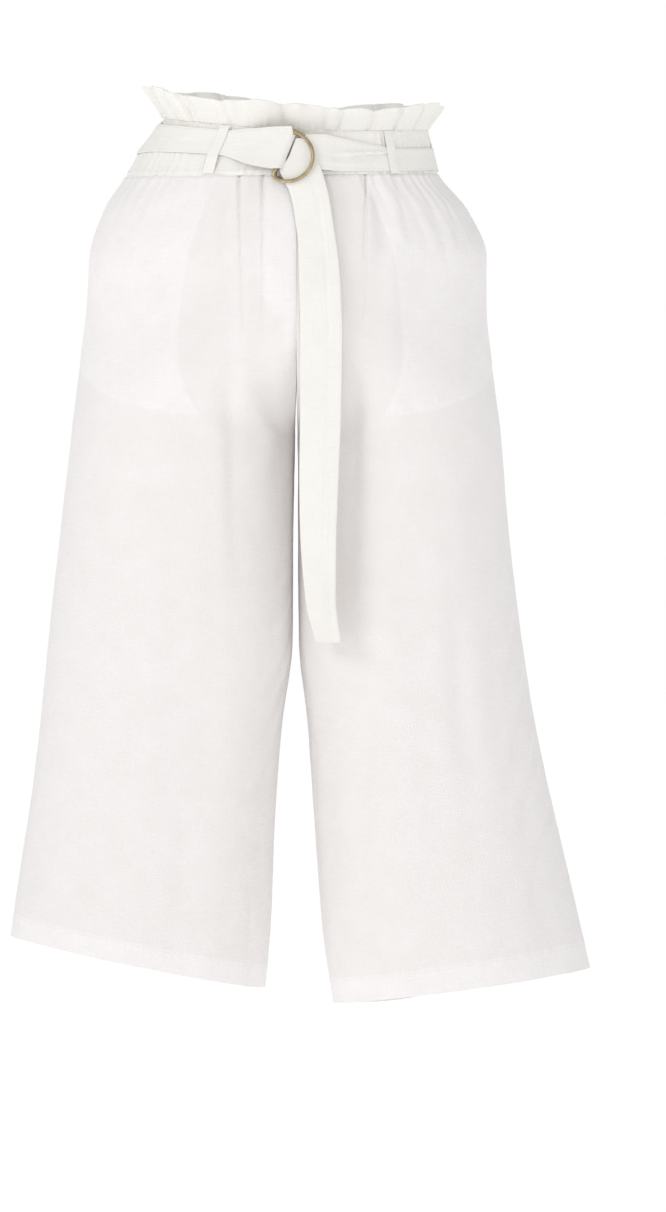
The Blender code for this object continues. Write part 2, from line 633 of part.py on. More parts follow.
def d_ring(name, slid_along, slid_out, bar_lift, bow_lift):
    """A wire bent to a straight bar and a round bow, lying in the slope of the casing's front."""
    half, shoulder = 0.5 * RING_LENGTH, RING_DEPTH - 0.5 * RING_LENGTH

    def place(along, out):
        along, out = along + slid_along, out + slid_out
        return (RING_X + along * math.sin(RING_LEAN) + out * math.cos(RING_LEAN),
                RING_Z + along * math.cos(RING_LEAN) - out * math.sin(RING_LEAN))

    def over_casing(along, out, lift):
        x, z = place(along, out)
        return casing_point(turn_at(x), front_drop(z), lift)[1]

    upper, lower = over_casing(half, 0.0, bar_lift), over_casing(-half, 0.0, bar_lift)
    bow = over_casing(0.0, RING_DEPTH, bow_lift)
    middle = 0.5 * (upper + lower)
    outline = [(half * (1.0 - 0.25 * k), 0.0) for k in range(9)]
    for k in range(13):
        angle = math.radians(-90.0 + 15.0 * k)
        outline.append((half * math.sin(angle), shoulder + half * math.cos(angle)))

    curve = bpy.data.curves.new(name, "CURVE")
    curve.dimensions = "3D"
    curve.bevel_depth = 0.5 * RING_WIRE
    curve.bevel_resolution = 2
    spline = curve.splines.new("POLY")
    spline.points.add(len(outline) - 1)
    for point, (along, out) in zip(spline.points, outline):
        x, z = place(along, out)
        y = middle + (upper - lower) * along / RING_LENGTH + (bow - middle) * out / RING_DEPTH
        point.co = (x, y, z, 1.0)
    spline.use_cyclic_u = True
    ring = bpy.data.objects.new(name, curve)
    bpy.context.scene.collection.objects.link(ring)
    curve.materials.append(brass())
    return ring


def main():
    for item in list(bpy.data.objects):
        bpy.data.objects.remove(item, do_unlink=True)
    for side in ("right", "left"):
        for face in ("front", "back"):
            leg_panel(side, face)
        pocket_bag(side)
        turned_hem(side)
    fly_facing()
    waist_casing()
    frill()
    belt()
    belt_tail()
    for number, turn in enumerate(LOOP_TURNS, start=1):
        belt_loop(number, turn)
    for ring in RING_PLACES:
        d_ring(*ring)


main()
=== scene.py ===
"""Looks of the paper-bag culottes: linen shells, pleats, gathers, stitching and brass rings.

The cloth is laid on the same surface as the solids.  A place on it is given by
    side   "right" or "left", the wearer's own
    face   "front" or "back"
    drop   how far the level lies below the middle of the waist casing, negative above it
    u      0 at the side seam, 1 at the centre seam or, below the crotch, at the inseam
"""
import math
from functools import cache

import bpy
import numpy as np
from mathutils import Matrix, Vector, noise


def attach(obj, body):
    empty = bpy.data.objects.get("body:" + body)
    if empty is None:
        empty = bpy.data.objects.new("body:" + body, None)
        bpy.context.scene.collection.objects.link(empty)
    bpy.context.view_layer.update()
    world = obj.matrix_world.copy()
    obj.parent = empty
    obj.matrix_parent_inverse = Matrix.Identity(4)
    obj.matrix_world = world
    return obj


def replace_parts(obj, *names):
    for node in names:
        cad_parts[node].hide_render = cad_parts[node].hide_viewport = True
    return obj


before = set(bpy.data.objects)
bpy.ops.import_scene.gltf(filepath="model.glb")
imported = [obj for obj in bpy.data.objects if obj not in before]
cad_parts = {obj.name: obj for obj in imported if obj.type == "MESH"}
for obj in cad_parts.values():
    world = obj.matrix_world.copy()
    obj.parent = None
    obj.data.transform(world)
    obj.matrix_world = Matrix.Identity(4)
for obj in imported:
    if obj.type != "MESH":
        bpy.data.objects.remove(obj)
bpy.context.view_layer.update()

# ---- driving sizes, in metres, as in the solids ---------------------------------------------
CLOTH = 0.0010            # what shows of a leg panel's wall
CASING_WALL = 0.0016
FRILL_WALL = 0.0012
BELT_WALL = 0.0012
LOOP_WALL = 0.0012
LINING_WALL = 0.0008
SOLID_CLOTH = 0.0014      # wall of the solid leg panel, which the bags lie behind
GAP = 0.0003
SEAM_ALLOWANCE = 0.010    # two more layers beside a seam
SEAM_DIP = 0.0004         # how far the cloth dips into a seam
TUCK_DEPTH = 0.0024       # how far a panel's top is tucked in behind the casing
CRUMPLE_BROAD = 0.00085   # unevenness of worn linen, broad and fine
CRUMPLE_FINE = 0.00034
HEM_PUCKER = 0.00025
BAG_RELIEF = 0.0005       # how far a pocket bag's outline stands out on the front
FLUTE_START = 0.22        # drop at which the legs' flutes begin
SEAM_SHADE_LIFT = 0.8          # how far cloth doubled at a seam, a bag or the facing takes away the painted see-through shade, so it is painted whiter
BAG_SHADE_LIFT = 0.85
FACING_SHADE_LIFT = 0.9
EDGE_ANGLE = math.radians(50.0)    # a cloth's cut or folded edge looks crisp

FRILL_TOP = -0.055
CASING_TOP = -0.030
PANEL_TOP = 0.022
RISE_START = 0.130
CROTCH = 0.285
HEM = 0.812
HEM_DEPTH = 0.022
FRONT_DIP = 0.0085        # the waist lies this much lower at the front and higher at the back
DIP_END = 0.450           # drop at which that has died away
BACK_SAG = 0.012          # the wearer's left leg hangs lower behind, near the inseam
SAG_START = 0.560
SAG_REACH = 0.30          # u from which it sags

GATHER_DEPTH = 0.0019
BACK_GATHER = 1.7         # the back is fuller, so its gathers stand higher
FOLD_SHARE = 0.6          # the solids' broad folds are fuller than they look on the cloth
FRILL_WAVES = 24
FRILL_DEPTH = 0.0062

MOUTH_TOP = 0.030
MOUTH_LOW = 0.112
MOUTH_DEPTH = 0.028
MOUTH_REACH = 0.34
BAG_OUTER = 0.014
BAG_INNER_TOP = 0.70
BAG_INNER_LOW = 0.60
BAG_SIDE_END = 0.215
BAG_LOW = 0.268
BAG_TOP = 0.024
BAG_WIDTH = 0.16          # a bag's size along its cloth
BAG_LENGTH = 0.24
BAG_FILL = 0.022          # how far apart its layers hang
BAG_EDGE = 0.0040         # how far its joined edges lie behind its front layer
BAG_CLEARANCE = 0.0016    # between that layer and the panel
FACING_FROM = 0.885       # u where the fly facing begins
FACING_LOW = 0.150

RING_WIRE = 0.0036
RING_LENGTH = 0.0500
RING_DEPTH = 0.0320
RING_CORNER = 0.0045
RING_LEAN = math.radians(19.5)
RING_X = -0.0152          # middle of the upper ring's bar
RING_Z = -0.0119
# for each ring: how far it has slid along its bar and out, and the lifts of its wire's middle off
# the casing, at the bar and at the bow
RING_PLACES = (("d_ring_upper", 0.0, 0.0, 0.0121, 0.0148),
               ("d_ring_lower", 0.0016, 0.0006, 0.0056, 0.0043))

CASING_LEVELS = (CASING_TOP, -0.012, 0.005, PANEL_TOP - GAP)    # rows of the solid casing
CASING_COLUMNS = 720
CASING_GATHERS = 96
CASING_FREE = 0.0018      # depth of the casing's puckers where nothing covers them
CASING_PRESSED = 0.0009   # and under the belt
CASING_RIDGE = 0.0006     # height of the ridge along its lower stitching
FRILL_COLUMNS = 900
FRILL_SHARE = 0.6         # the solid's even waves, which the puffs and folds partly take over
PUFF_DEPTH = 0.0062
PUFF_RISE = 0.0024         # how much higher a puff's middle stands than its ends
FRILL_GROOVE = 0.0034      # depth of the shadow line along a fold of the frill
TAIL_SPREAD = 0.0065       # how much wider the tail lies where it leaves the rings
TAIL_TURNED_IN = 0.23      # the part of its width that is doubled over along its edge
TAIL_PLEAT = 0.0011        # how far that part stands in front of the rest
BELT_ACROSS = 15          # points across the belt, the tail and a loop
TAIL_ACROSS = 41
LOOP_ACROSS = 9
BELT_STEP = 1.0           # degrees between the belt's rows of points
FOLD_LOW = 0.0014         # lifts of the outer sides of the fold that holds the rings
FOLD_HIGH = 0.0166
SEWN_TOP = -0.0218        # drop of the sewn end's upper edge, and the fold's, below the rings' ends
LOOP_WIDTH = 0.009
LOOP_ROOM = 0.0055        # the least height of casing on which a loop's end can seat
LOOP_SLOPE = 1.35         # lifts are level, and the casing leans out
LOOP_CLEAR = 0.0022       # beyond the belt's edges before a loop turns in
LOOP_END = 0.0005         # how far its end stays off the casing's edge, and off its face
MEAN_WAIST_RADIUS = 0.120
# creases along the belt: start and end turn, how far down its width they start and end, height
BELT_CREASES = (
    (316.0, 346.0, 0.20, 0.62, 0.0028),
    (322.0, 350.0, 0.74, 0.82, 0.0012),
    (12.0, 27.0, 0.35, 0.60, 0.0010),
    (36.0, 70.0, 0.40, 0.55, 0.0006),
    (110.0, 150.0, 0.60, 0.45, 0.0006),
    (205.0, 240.0, 0.45, 0.60, 0.0006),
)

# ---- tables, in millimetres and thousandths of u --------------------------------------------
def metres(*values):
    """Millimetres as metres, and thousandths as parts of one."""
    return tuple(value / 1000 for value in values)


def panels(**tables):
    """Tables of the leg panels: rows by (side, face)."""
    return {tuple(name.split("_")): [metres(*row) for row in rows] for name, rows in tables.items()}


# outer: side seam's distance from the middle line; outer_z: its height; inner, inner_z: the same
# for the centre seam (above the crotch) or the inseam (below it); front, back: depth of the body
# and legs in front of their middle and behind it
SECTION_COLUMNS = ("drop", "right outer", "right outer_z", "right inner", "right inner_z",
                   "left outer", "left outer_z", "left inner", "left inner_z",
                   "middle", "front", "back")
SECTIONS = [metres(*row) for row in (
    (-55, 145, 60, 0, 41, 140, 42, 0, 41, 4, 112, 108),
    (-30, 133, 32, 0, 21, 131, 21, 0, 21, 4, 94, 93),
    (0, 154, 4, 0, 0, 134, 0, 0, 0, 5, 97, 98),
    (22, 170, -25, 0, -22, 140, -22, 0, -22, 6, 103, 106),
    (60, 192, -59, 0, -60, 170, -60, 0, -60, 8, 111, 120),
    (105, 207, -105, 0, -105, 189, -105, 0, -105, 10, 117, 129),
    (160, 210, -158, 0, -160, 189.5, -158, 0, -160, 12, 119, 131),
    (220, 217, -214, 0, -222, 195.5, -216, 0, -222, 12, 116, 126),
    (285, 225, -275, 2, -285, 203.5, -278, 1, -285, 12, 109, 114),
    (370, 234, -355, 3.5, -375, 210, -360, 1, -375, 12, 105, 107),
    (480, 246, -460, 4.5, -490, 222, -468, 2, -490, 12, 102, 103),
    (560, 254, -540, 15, -575, 234, -548, 11, -578, 14, 100, 100),
    (650, 264, -628, 22, -672, 252, -638, 18, -676, 16, 98, 98),
    (740, 277, -716, 26, -765, 274, -732, 25, -775, 18, 97, 97),
    (812, 287, -786, 32, -838, 294, -818, 36, -853, 20, 96.5, 96.5),
)]
# pleats' troughs and soft folds: u_top, u_low, height (a ridge's is positive and a trough's
# negative), half_width in u, top, low
FOLDS = panels(
    right_front=[
        (770, 800, -5.2, 55, 10, 180), (700, 730, 2.4, 60, 10, 160),
        (868, 865, -4.2, 50, 10, 160), (760, 640, -6, 110, 130, 400),
        (900, 780, -5, 90, 160, 520), (320, 300, 5, 300, 40, 260),
        (420, 440, -4.5, 130, 380, 900), (700, 640, 5, 140, 480, 950),
    ],
    left_front=[
        (661, 730, -6, 55, 10, 185), (590, 650, 2.6, 60, 10, 160), (800, 840, -4.2, 50, 10, 150),
        (780, 660, -6, 100, 130, 400), (300, 280, 4.6, 280, 40, 270),
        (450, 400, -4.5, 130, 360, 880), (620, 660, 5, 140, 500, 950),
    ],
    right_back=[
        (350, 380, -4.5, 60, 10, 170), (620, 600, -5, 60, 10, 200),
        (500, 460, -6, 120, 250, 620), (760, 700, -5.5, 110, 270, 700),
        (300, 340, 5, 140, 420, 950),
    ],
    left_back=[
        (380, 400, -4.5, 60, 10, 180), (660, 620, -5, 60, 10, 190),
        (460, 440, -6, 120, 260, 600), (740, 690, -5.5, 110, 280, 720),
        (320, 300, 5, 140, 440, 950),
    ],
)
# the belt's route round the waist; turn is the angle from the centre front towards the wearer's
# right, top and low its edges' drops, lift its height off the casing
BELT_COLUMNS = ("turn", "top", "low", "lift")
BELT = [(turn, *metres(*row)) for turn, *row in (
    (6, -33.5, 18, 16.5), (12, -31, 15.5, 16.4), (17, -28.5, 12.5, 11.8), (22, -27, 9, 5.6),
    (26.5, -24.5, 6, 3.1), (31, -23.5, 4.5, 2.7), (60, -24, 3, 2.7), (90, -24, 6, 2.7),
    (135, -22, 12, 2.7), (180, -18, 16, 2.7), (225, -12, 18, 2.7), (270, -4, 19, 2.7),
    (310, -4, 20, 2.7), (330, -11.5, 20, 2.7), (342, -19.5, 20, 5), (349, -24, 19, 8.8),
    (359, -23.5, 15, 8.8),
)]
LOOP_TURNS = (31, 104, 180, 258, 317)
# the hanging tail of the belt: how far it has fallen below the origin, its edge on the wearer's
# left, its width as seen from the front, how far it stands out from the front and how far its
# other edge is turned back
TAIL_COLUMNS = ("fall", "edge", "seen", "out", "turned")
TAIL = [metres(*row) for row in (
    (-4, 11.5, 12, 10.3, 0), (8, 16.5, 21.5, 10.3, 0), (18, 20.8, 29, 10.3, 0),
    (29, 25.2, 35, 10.2, 0), (40, 28.5, 33, 9.7, 0), (52, 31.5, 31.5, 8.8, 1),
    (85, 36.8, 35, 6.2, 2), (130, 42.5, 40, 5.2, 0), (190, 44.8, 41, 5.8, 3),
    (260, 43.8, 40, 5.4, 6), (333, 40.9, 38, 5, 12), (400, 38.5, 34, 4.6, 21),
    (450, 38, 29, 4.2, 27), (492, 42.9, 24, 4, 32),
)]
TAIL_LEAVES = 0.150       # drop below which the tail hangs straight down

# ---- finer relief ---------------------------------------------------------------------------
LEG_ACROSS = 193          # points across a leg panel, and across its hem
HEM_ACROSS = 89
GATHER_COUNTS = {("right", "front"): 15, ("left", "front"): 17,
                 ("right", "back"): 18, ("left", "back"): 18}
FLAT_FRONT = {"right": 0.80, "left": 0.88}    # u beyond which the front lies nearly flat
PLEAT_GROOVE = 0.0026     # depth of the shadow line along a pleat's folded edge
# pleats: away_top, away_low, step, width in u, end; away is the folded edge's distance from the
# middle line, and step is positive where the raised side lies towards the centre seam
PLEATS = panels(
    right_front=[
        (58.5, 53, -2.6, 50, 200), (34.7, 33.7, -2.2, 40, 190),
    ],
    left_front=[
        (70.4, 68, -3.4, 50, 180),
    ],
    right_back=[
        (90, 96, 2, 50, 150), (45, 48, -2.4, 50, 190),
    ],
    left_back=[
        (80, 85, 2.2, 50, 170), (38, 36, -1.8, 50, 140),
    ],
)
# long folds: away_top, away_low (their middles' distances from the middle line), top, low,
# height, wide (the trough's half width)
LONG_FOLDS = panels(
    right_front=[
        (64, 62, 100, 420, -1.8, 8.5), (94.6, 109, 110, 380, -2, 12),
        (75, 73, 240, 500, 1.6, 10), (118, 126, 300, 760, -2, 14),
    ],
    left_front=[
        (59, 56, 110, 430, -2.8, 11), (92, 101, 70, 380, 1.8, 12), (148, 176, 330, 770, -2, 14),
    ],
    right_back=[
        (115, 135, 40, 600, -6, 13), (62, 90, 40, 460, -5, 11), (162, 184, 240, 800, -5.6, 15),
        (88, 115, 60, 520, 4, 12),
    ],
    left_back=[
        (99, 118, 40, 560, -6, 13), (54, 78, 40, 430, -4.6, 10), (150, 178, 260, 800, -5.6, 15),
        (78, 98, 60, 500, 4, 12),
    ],
)
# creases from (u1, drop1) to (u2, drop2), then their height and wide
CREASES = panels(
    right_front=[
        (300, 36, 420, 120, -0.7, 5), (480, 30, 560, 150, -0.9, 6), (620, 28, 680, 110, -1, 5),
        (930, 200, 780, 330, -0.6, 9), (970, 255, 740, 350, -0.6, 8),
        (900, 300, 760, 520, -0.8, 9), (940, 420, 800, 470, -1.8, 5),
        (950, 470, 780, 545, -2.1, 5), (950, 520, 760, 600, -2.2, 5.5),
        (940, 575, 740, 640, -2, 5.5), (930, 640, 720, 700, -1.7, 5),
        (200, 300, 300, 520, -1.2, 12), (350, 560, 300, 780, -1.4, 12),
        (580, 640, 550, 812, -1.6, 10), (800, 700, 830, 812, -1.4, 8),
    ],
    left_front=[
        (240, 30, 360, 100, -0.8, 4.5), (400, 28, 430, 120, -1.2, 5),
        (520, 26, 600, 95, -0.9, 4), (590, 30, 630, 135, -0.6, 7), (960, 230, 800, 340, -1.6, 9),
        (940, 280, 700, 380, -1.2, 8), (60, 470, 220, 560, -2.2, 6),
        (50, 530, 240, 620, -2.5, 6.5), (50, 590, 260, 690, -2.5, 6.5),
        (60, 660, 280, 750, -2.1, 6), (300, 420, 360, 660, -1.4, 12),
        (620, 520, 700, 800, -1.4, 12), (880, 560, 920, 780, -1.2, 7),
    ],
    right_back=[
        (300, 50, 360, 210, -1.6, 8), (550, 40, 600, 230, -1.8, 9), (800, 45, 830, 190, -1.6, 8),
        (920, 270, 620, 330, -2.4, 11), (860, 310, 500, 390, -2, 11),
        (600, 380, 500, 640, -1.8, 13), (250, 420, 320, 700, -1.6, 12),
        (780, 520, 720, 790, -1.6, 11),
    ],
    left_back=[
        (330, 45, 370, 200, -1.6, 8), (520, 50, 580, 240, -1.8, 9), (780, 40, 800, 180, -1.6, 8),
        (930, 265, 600, 340, -2.4, 11), (880, 315, 550, 375, -1.8, 10),
        (570, 400, 480, 660, -1.8, 13), (280, 380, 240, 640, -1.6, 12),
        (740, 500, 780, 800, -1.6, 11),
    ],
)
# flutes, long waves across the legs that grow towards the hem: u, half_width in u, height
FLUTES = panels(
    right_front=[
        (280, 70, -2), (460, 60, 1.8), (620, 50, -3), (860, 50, -2.6),
    ],
    left_front=[
        (240, 60, -3), (420, 60, 1.8), (660, 60, -2.2), (880, 50, 2),
    ],
    right_back=[
        (200, 60, -4), (420, 70, 4), (600, 60, -5), (820, 60, 3),
    ],
    left_back=[
        (220, 60, -4), (400, 70, 4), (630, 60, -5), (800, 60, 3),
    ],
)
# folds of the frill: turn, step, and width in degrees; step is positive where the raised side
# comes after the turn
FRILL_FOLDS = [(turn, step / 1000, width) for turn, step, width in (
    (5, 3, 7), (30, 2, 8), (52, 3, 9), (63, -2.4, 6), (74, -3, 6), (83, 2.8, 6), (96, -2.4, 7),
    (112, 2.6, 8), (131, -3, 7), (150, -2.6, 8), (174, 3, 7), (196, 2.6, 8), (215, 2.8, 7),
    (232, -2.6, 8), (251, -3, 7), (270, 3, 8), (284, 2.6, 6), (297, -3.4, 7), (312, -3, 6),
    (327, -3.2, 6), (342, -2.6, 5), (348.5, -2.8, 5),
)]


# ---- small mathematics ----------------------------------------------------------------------
def smooth_step(value, low, high):
    part = np.clip((np.asarray(value, dtype=float) - low) / (high - low), 0.0, 1.0)
    return part * part * (3.0 - 2.0 * part)


def bump(value, low, high):
    """0 outside low..high and a smooth hill of height 1 between them."""
    part = np.clip((np.asarray(value, dtype=float) - low) / (high - low), 0.0, 1.0)
    return np.sin(math.pi * part) ** 2


def hashed(number, salt):
    """A steady value from 0 to 1 for each whole number."""
    value = np.sin(np.asarray(number, dtype=float) * 12.9898 + salt * 78.233) * 43758.5453
    return value - np.floor(value)


def table_value(rows, columns, name, at):
    """A column of a table at any value of the first column, along a smooth curve."""
    column = columns.index(name)
    last = len(rows) - 1
    if at <= rows[0][0]:
        return rows[0][column]
    if at >= rows[last][0]:
        return rows[last][column]
    k = next(i for i in range(last) if rows[i + 1][0] > at)
    span = rows[k + 1][0] - rows[k][0]
    part = (at - rows[k][0]) / span

    def rise(i):
        return (rows[i + 1][column] - rows[i][column]) / (rows[i + 1][0] - rows[i][0])

    def slope(i):
        """The curve's slope at a row, chosen so that it never swings past its neighbours."""
        if i in (0, last):
            return rise(min(i, last - 1))
        before, after = rise(i - 1), rise(i)
        return 0.0 if before * after <= 0.0 else 2.0 * before * after / (before + after)

    square, cube = part * part, part * part * part
    return ((2 * cube - 3 * square + 1) * rows[k][column]
            + (cube - 2 * square + part) * span * slope(k)
            + (3 * square - 2 * cube) * rows[k + 1][column]
            + (cube - square) * span * slope(k + 1))


# ---- the surface ----------------------------------------------------------------------------
def leg_value(side, name, drop):
    return table_value(SECTIONS, SECTION_COLUMNS, f"{side} {name}", drop)


def wrap_angle(drop):
    """How far round its section a panel reaches: to the centre seam, then on to the inseam."""
    down = min(1.0, max(0.0, (drop - RISE_START) / (CROTCH - RISE_START)))
    return math.radians(90.0) + math.asin(1.0 - (1.0 - down * down) ** 2)


def waist_dip(drop):
    """How far the centre front lies below the side seams' level, and the centre back above it."""
    return FRONT_DIP * max(0.0, (DIP_END - drop) / DIP_END)


def back_sag(side, face, drop, u):
    if (side, face) != ("left", "back"):
        return 0.0
    return BACK_SAG * float(smooth_step(drop, SAG_START, HEM)) * bump(u, SAG_REACH, 1.0)


def fold_height(side, face, drop, u):
    """Height of the pleats' troughs and the broad folds over the smooth surface."""
    total = np.zeros_like(u)
    for u_top, u_low, height, half_width, top, low in FOLDS[side, face]:
        along = float(bump(drop, top - 0.35 * (low - top), low))
        part = float(smooth_step(drop, top, low))
        centre = u_top + part * (u_low - u_top)
        across = bump(u, centre - half_width, centre + half_width)
        total += FOLD_SHARE * height * along * across
    return total


def surface(side, face, drop, u, lift):
    """Points of one level of the garment, moved out by lift; u and lift are arrays."""
    u = np.asarray(u, dtype=float)
    wrap = wrap_angle(drop)
    angle = wrap * u
    part = (1.0 - np.cos(angle)) / (1.0 - math.cos(wrap))
    outer, inner = leg_value(side, "outer", drop), leg_value(side, "inner", drop)
    outer_z, inner_z = leg_value(side, "outer_z", drop), leg_value(side, "inner_z", drop)
    depth, middle = (table_value(SECTIONS, SECTION_COLUMNS, name, drop) for name in (face, "middle"))
    half = (outer - inner) / (1.0 - math.cos(wrap))
    normal_x, normal_y = np.cos(angle) / half, np.sin(angle) / depth
    length = np.hypot(normal_x, normal_y)
    away = outer + (inner - outer) * part + lift * normal_x / length
    deep = depth * np.sin(angle) + lift * normal_y / length
    if face == "back":
        near_seam = np.maximum(0.0, 1.0 - u / MOUTH_REACH)
        away = away - MOUTH_DEPTH * float(bump(drop, MOUTH_TOP, MOUTH_LOW)) * near_seam ** 2
    x_sign = -1.0 if side == "right" else 1.0
    y_sign = -1.0 if face == "front" else 1.0
    z = outer_z + (inner_z - outer_z) * part + y_sign * waist_dip(drop) * np.sin(angle)
    return np.stack([x_sign * away, middle + y_sign * deep, z - back_sag(side, face, drop, u)], axis=1)


def u_at(side, drop, away):
    """The u of the front or back at which a level lies this far from the middle line."""
    outer, inner = leg_value(side, "outer", drop), leg_value(side, "inner", drop)
    wrap = wrap_angle(drop)
    part = (outer - away) / (outer - inner)
    cosine = 1.0 - part * (1.0 - math.cos(wrap))
    return math.acos(min(1.0, max(-1.0, cosine))) / wrap


def round_row(turns, drop, lift):
    """Points round the waist; turns run from the centre front to the wearer's right, in degrees."""
    turns = np.asarray(turns, dtype=float) % 360.0
    lift = np.broadcast_to(np.asarray(lift, dtype=float), turns.shape)
    points = np.zeros((len(turns), 3))
    from_front = np.where(turns < 180.0, turns, 360.0 - turns)
    for side, of_side in (("right", turns < 180.0), ("left", turns >= 180.0)):
        for face, of_face in (("front", from_front < 90.0), ("back", from_front >= 90.0)):
            mask = of_side & of_face
            if mask.any():
                u = np.abs(1.0 - from_front[mask] / 90.0)
                points[mask] = surface(side, face, drop, u, lift[mask])
    return points


# ---- the cloth's relief ---------------------------------------------------------------------
def gather_height(side, face, drop, u):
    """Uneven gathers that the casing draws the panels into; each has its own depth and length."""
    if drop < PANEL_TOP:
        return np.zeros_like(u)
    salt = {"right": 1.0, "left": 2.0}[side] + {"front": 0.0, "back": 5.0}[face]
    count = GATHER_COUNTS[side, face]
    phase = count * (u + 0.012 * np.sin(9.0 * u + salt) + 0.006 * np.sin(23.0 * u + 2.0 * salt))
    number = np.floor(phase)
    within = phase - number
    height = 0.35 + 0.65 * hashed(number, salt)
    reach = 0.010 + 0.042 * hashed(number, salt + 0.7) ** 1.5
    sharp = 1.0 + 1.2 * math.exp(-(drop - PANEL_TOP) / 0.02)
    crest = ((1.0 - np.cos(math.tau * within)) / 2.0) ** sharp
    fade = np.exp(-((drop - PANEL_TOP) / reach))
    flat_part = np.ones_like(u)
    if face == "front":
        flat_from = FLAT_FRONT[side]
        flat_part = 1.0 - 0.85 * smooth_step(u, flat_from - 0.04, flat_from + 0.03)
    at_seams = np.clip(np.minimum(u, 1.0 - u) / 0.03, 0.0, 1.0)
    depth = GATHER_DEPTH * (BACK_GATHER if face == "back" else 1.0)
    return depth * flat_part * at_seams * fade * (height * crest - 0.25)


def pleat_height(side, face, drop, u):
    """Each pleat's folded edge: a sharp step on one side and a slow slope on the other."""
    total = np.zeros_like(u)
    for away_top, away_low, step, width, end in PLEATS[side, face]:
        part = float(np.clip((drop - PANEL_TOP) / (end - PANEL_TOP), 0.0, 1.0))
        away = away_top + (away_low - away_top) * part
        beyond = (u - u_at(side, drop, away)) * math.copysign(1.0, step)
        slope = np.where(beyond > 0.0, np.exp(-beyond / width), 1.0)
        fade = (1.0 - part) ** 0.8
        total += abs(step) * fade * slope * smooth_step(beyond, -0.0045, 0.0020)
        total -= PLEAT_GROOVE * fade * np.exp(-((beyond + 0.004) / 0.0080) ** 2)
    return total


def long_fold_height(side, face, drop, u, width):
    """Long soft folds that hang straight down from the waist."""
    total = np.zeros_like(u)
    for away_top, away_low, top, low, height, wide in LONG_FOLDS[side, face]:
        if top < drop < low:
            part = (drop - top) / (low - top)
            away = away_top + (away_low - away_top) * part
            across = (u - u_at(side, drop, away)) * width / wide
            total += height * math.sin(math.pi * part) ** 0.8 * np.exp(-across ** 2)
    return total


def crease_height(side, face, drop, u, width):
    """Soft creases: a trough with a lower ridge beside it; width is the panel's at this level."""
    total = np.zeros_like(u)
    for u1, drop1, u2, drop2, height, wide in CREASES[side, face]:
        run_u, run_d = (u2 - u1) * width, drop2 - drop1
        length = math.hypot(run_u, run_d)
        over_u, over_d = (u - u1) * width, drop - drop1
        along = np.clip((over_u * run_u + over_d * run_d) / length ** 2, 0.0, 1.0)
        middle = np.sin(math.pi * along)    # 0 at the crease's ends and 1 half way
        across = (over_u * run_d - over_d * run_u) / length - 0.06 * length * middle
        trough = np.exp(-(across / wide) ** 2)
        ridge = np.exp(-((across - 1.7 * wide) / (1.3 * wide)) ** 2)
        total += height * np.clip(middle, 0.0, 1.0) ** 0.7 * (trough - 0.6 * ridge)
    return total


def hang_height(side, face, drop, u):
    """Long soft flutes that widen down the legs to the hem."""
    total = np.zeros_like(u)
    for at, half_width, height in FLUTES[side, face]:
        total += height * np.exp(-((u - at) / half_width) ** 2)
    return total * smooth_step(drop, FLUTE_START, HEM)


def crumple(side, face, drop, u, width):
    """The slight unevenness that worn linen has all over."""
    shift = {"right": 0.0, "left": 3.7}[side] + {"front": 0.0, "back": 9.1}[face]
    return np.array([CRUMPLE_BROAD * noise.noise(Vector((x * width * 22.0, drop * 7.0, shift)))
                     + CRUMPLE_FINE * noise.noise(Vector((x * width * 70.0, drop * 40.0, shift + 2.0)))
                     for x in u])


def seam_dip(u):
    """Cloth turns in a little at the seams along its two sides."""
    from_seam = np.minimum(u, 1.0 - u)
    return -SEAM_DIP * np.exp(-(from_seam / 0.006) ** 2)


def panel_width(side, face, drop):
    """How wide a panel is at a level, along the cloth."""
    points = surface(side, face, drop, np.linspace(0.0, 1.0, 25), 0.0)
    return float(np.linalg.norm(np.diff(points, axis=0), axis=1).sum())


def cloth_lift(side, face, drop, u):
    """All of a panel's relief at one level."""
    width = panel_width(side, face, drop)
    hem_pucker = HEM_PUCKER * np.sin(u * width * 620.0 + 3.0 * np.sin(u * 31.0))
    near_hem_stitch = math.exp(-((drop - (HEM - HEM_DEPTH)) / 0.006) ** 2)
    return (fold_height(side, face, drop, u) + gather_height(side, face, drop, u)
            + pleat_height(side, face, drop, u) + crease_height(side, face, drop, u, width)
            + long_fold_height(side, face, drop, u, width)
            + hang_height(side, face, drop, u) + crumple(side, face, drop, u, width)
            + hem_pucker * near_hem_stitch + BAG_RELIEF * bag_inside(face, drop, u) + seam_dip(u))


def bag_inside(face, drop, u):
    """How far inside the pocket bag's outline a place lies, from 0 outside to 1, with a thin edge."""
    if face != "front" or drop < BAG_TOP:
        return np.zeros_like(u)
    down = min(1.0, (drop - BAG_TOP) / (BAG_SIDE_END - BAG_TOP))
    inner = BAG_INNER_TOP + (BAG_INNER_LOW - BAG_INNER_TOP) * down
    across = np.clip((u - BAG_OUTER) / (inner - BAG_OUTER), 0.0, 1.0)
    low = BAG_SIDE_END + (BAG_LOW - BAG_SIDE_END) * np.sin(0.5 * math.pi * across)
    return smooth_step(inner - u, -0.006, 0.006) * smooth_step(low - drop, -0.0016, 0.0016)


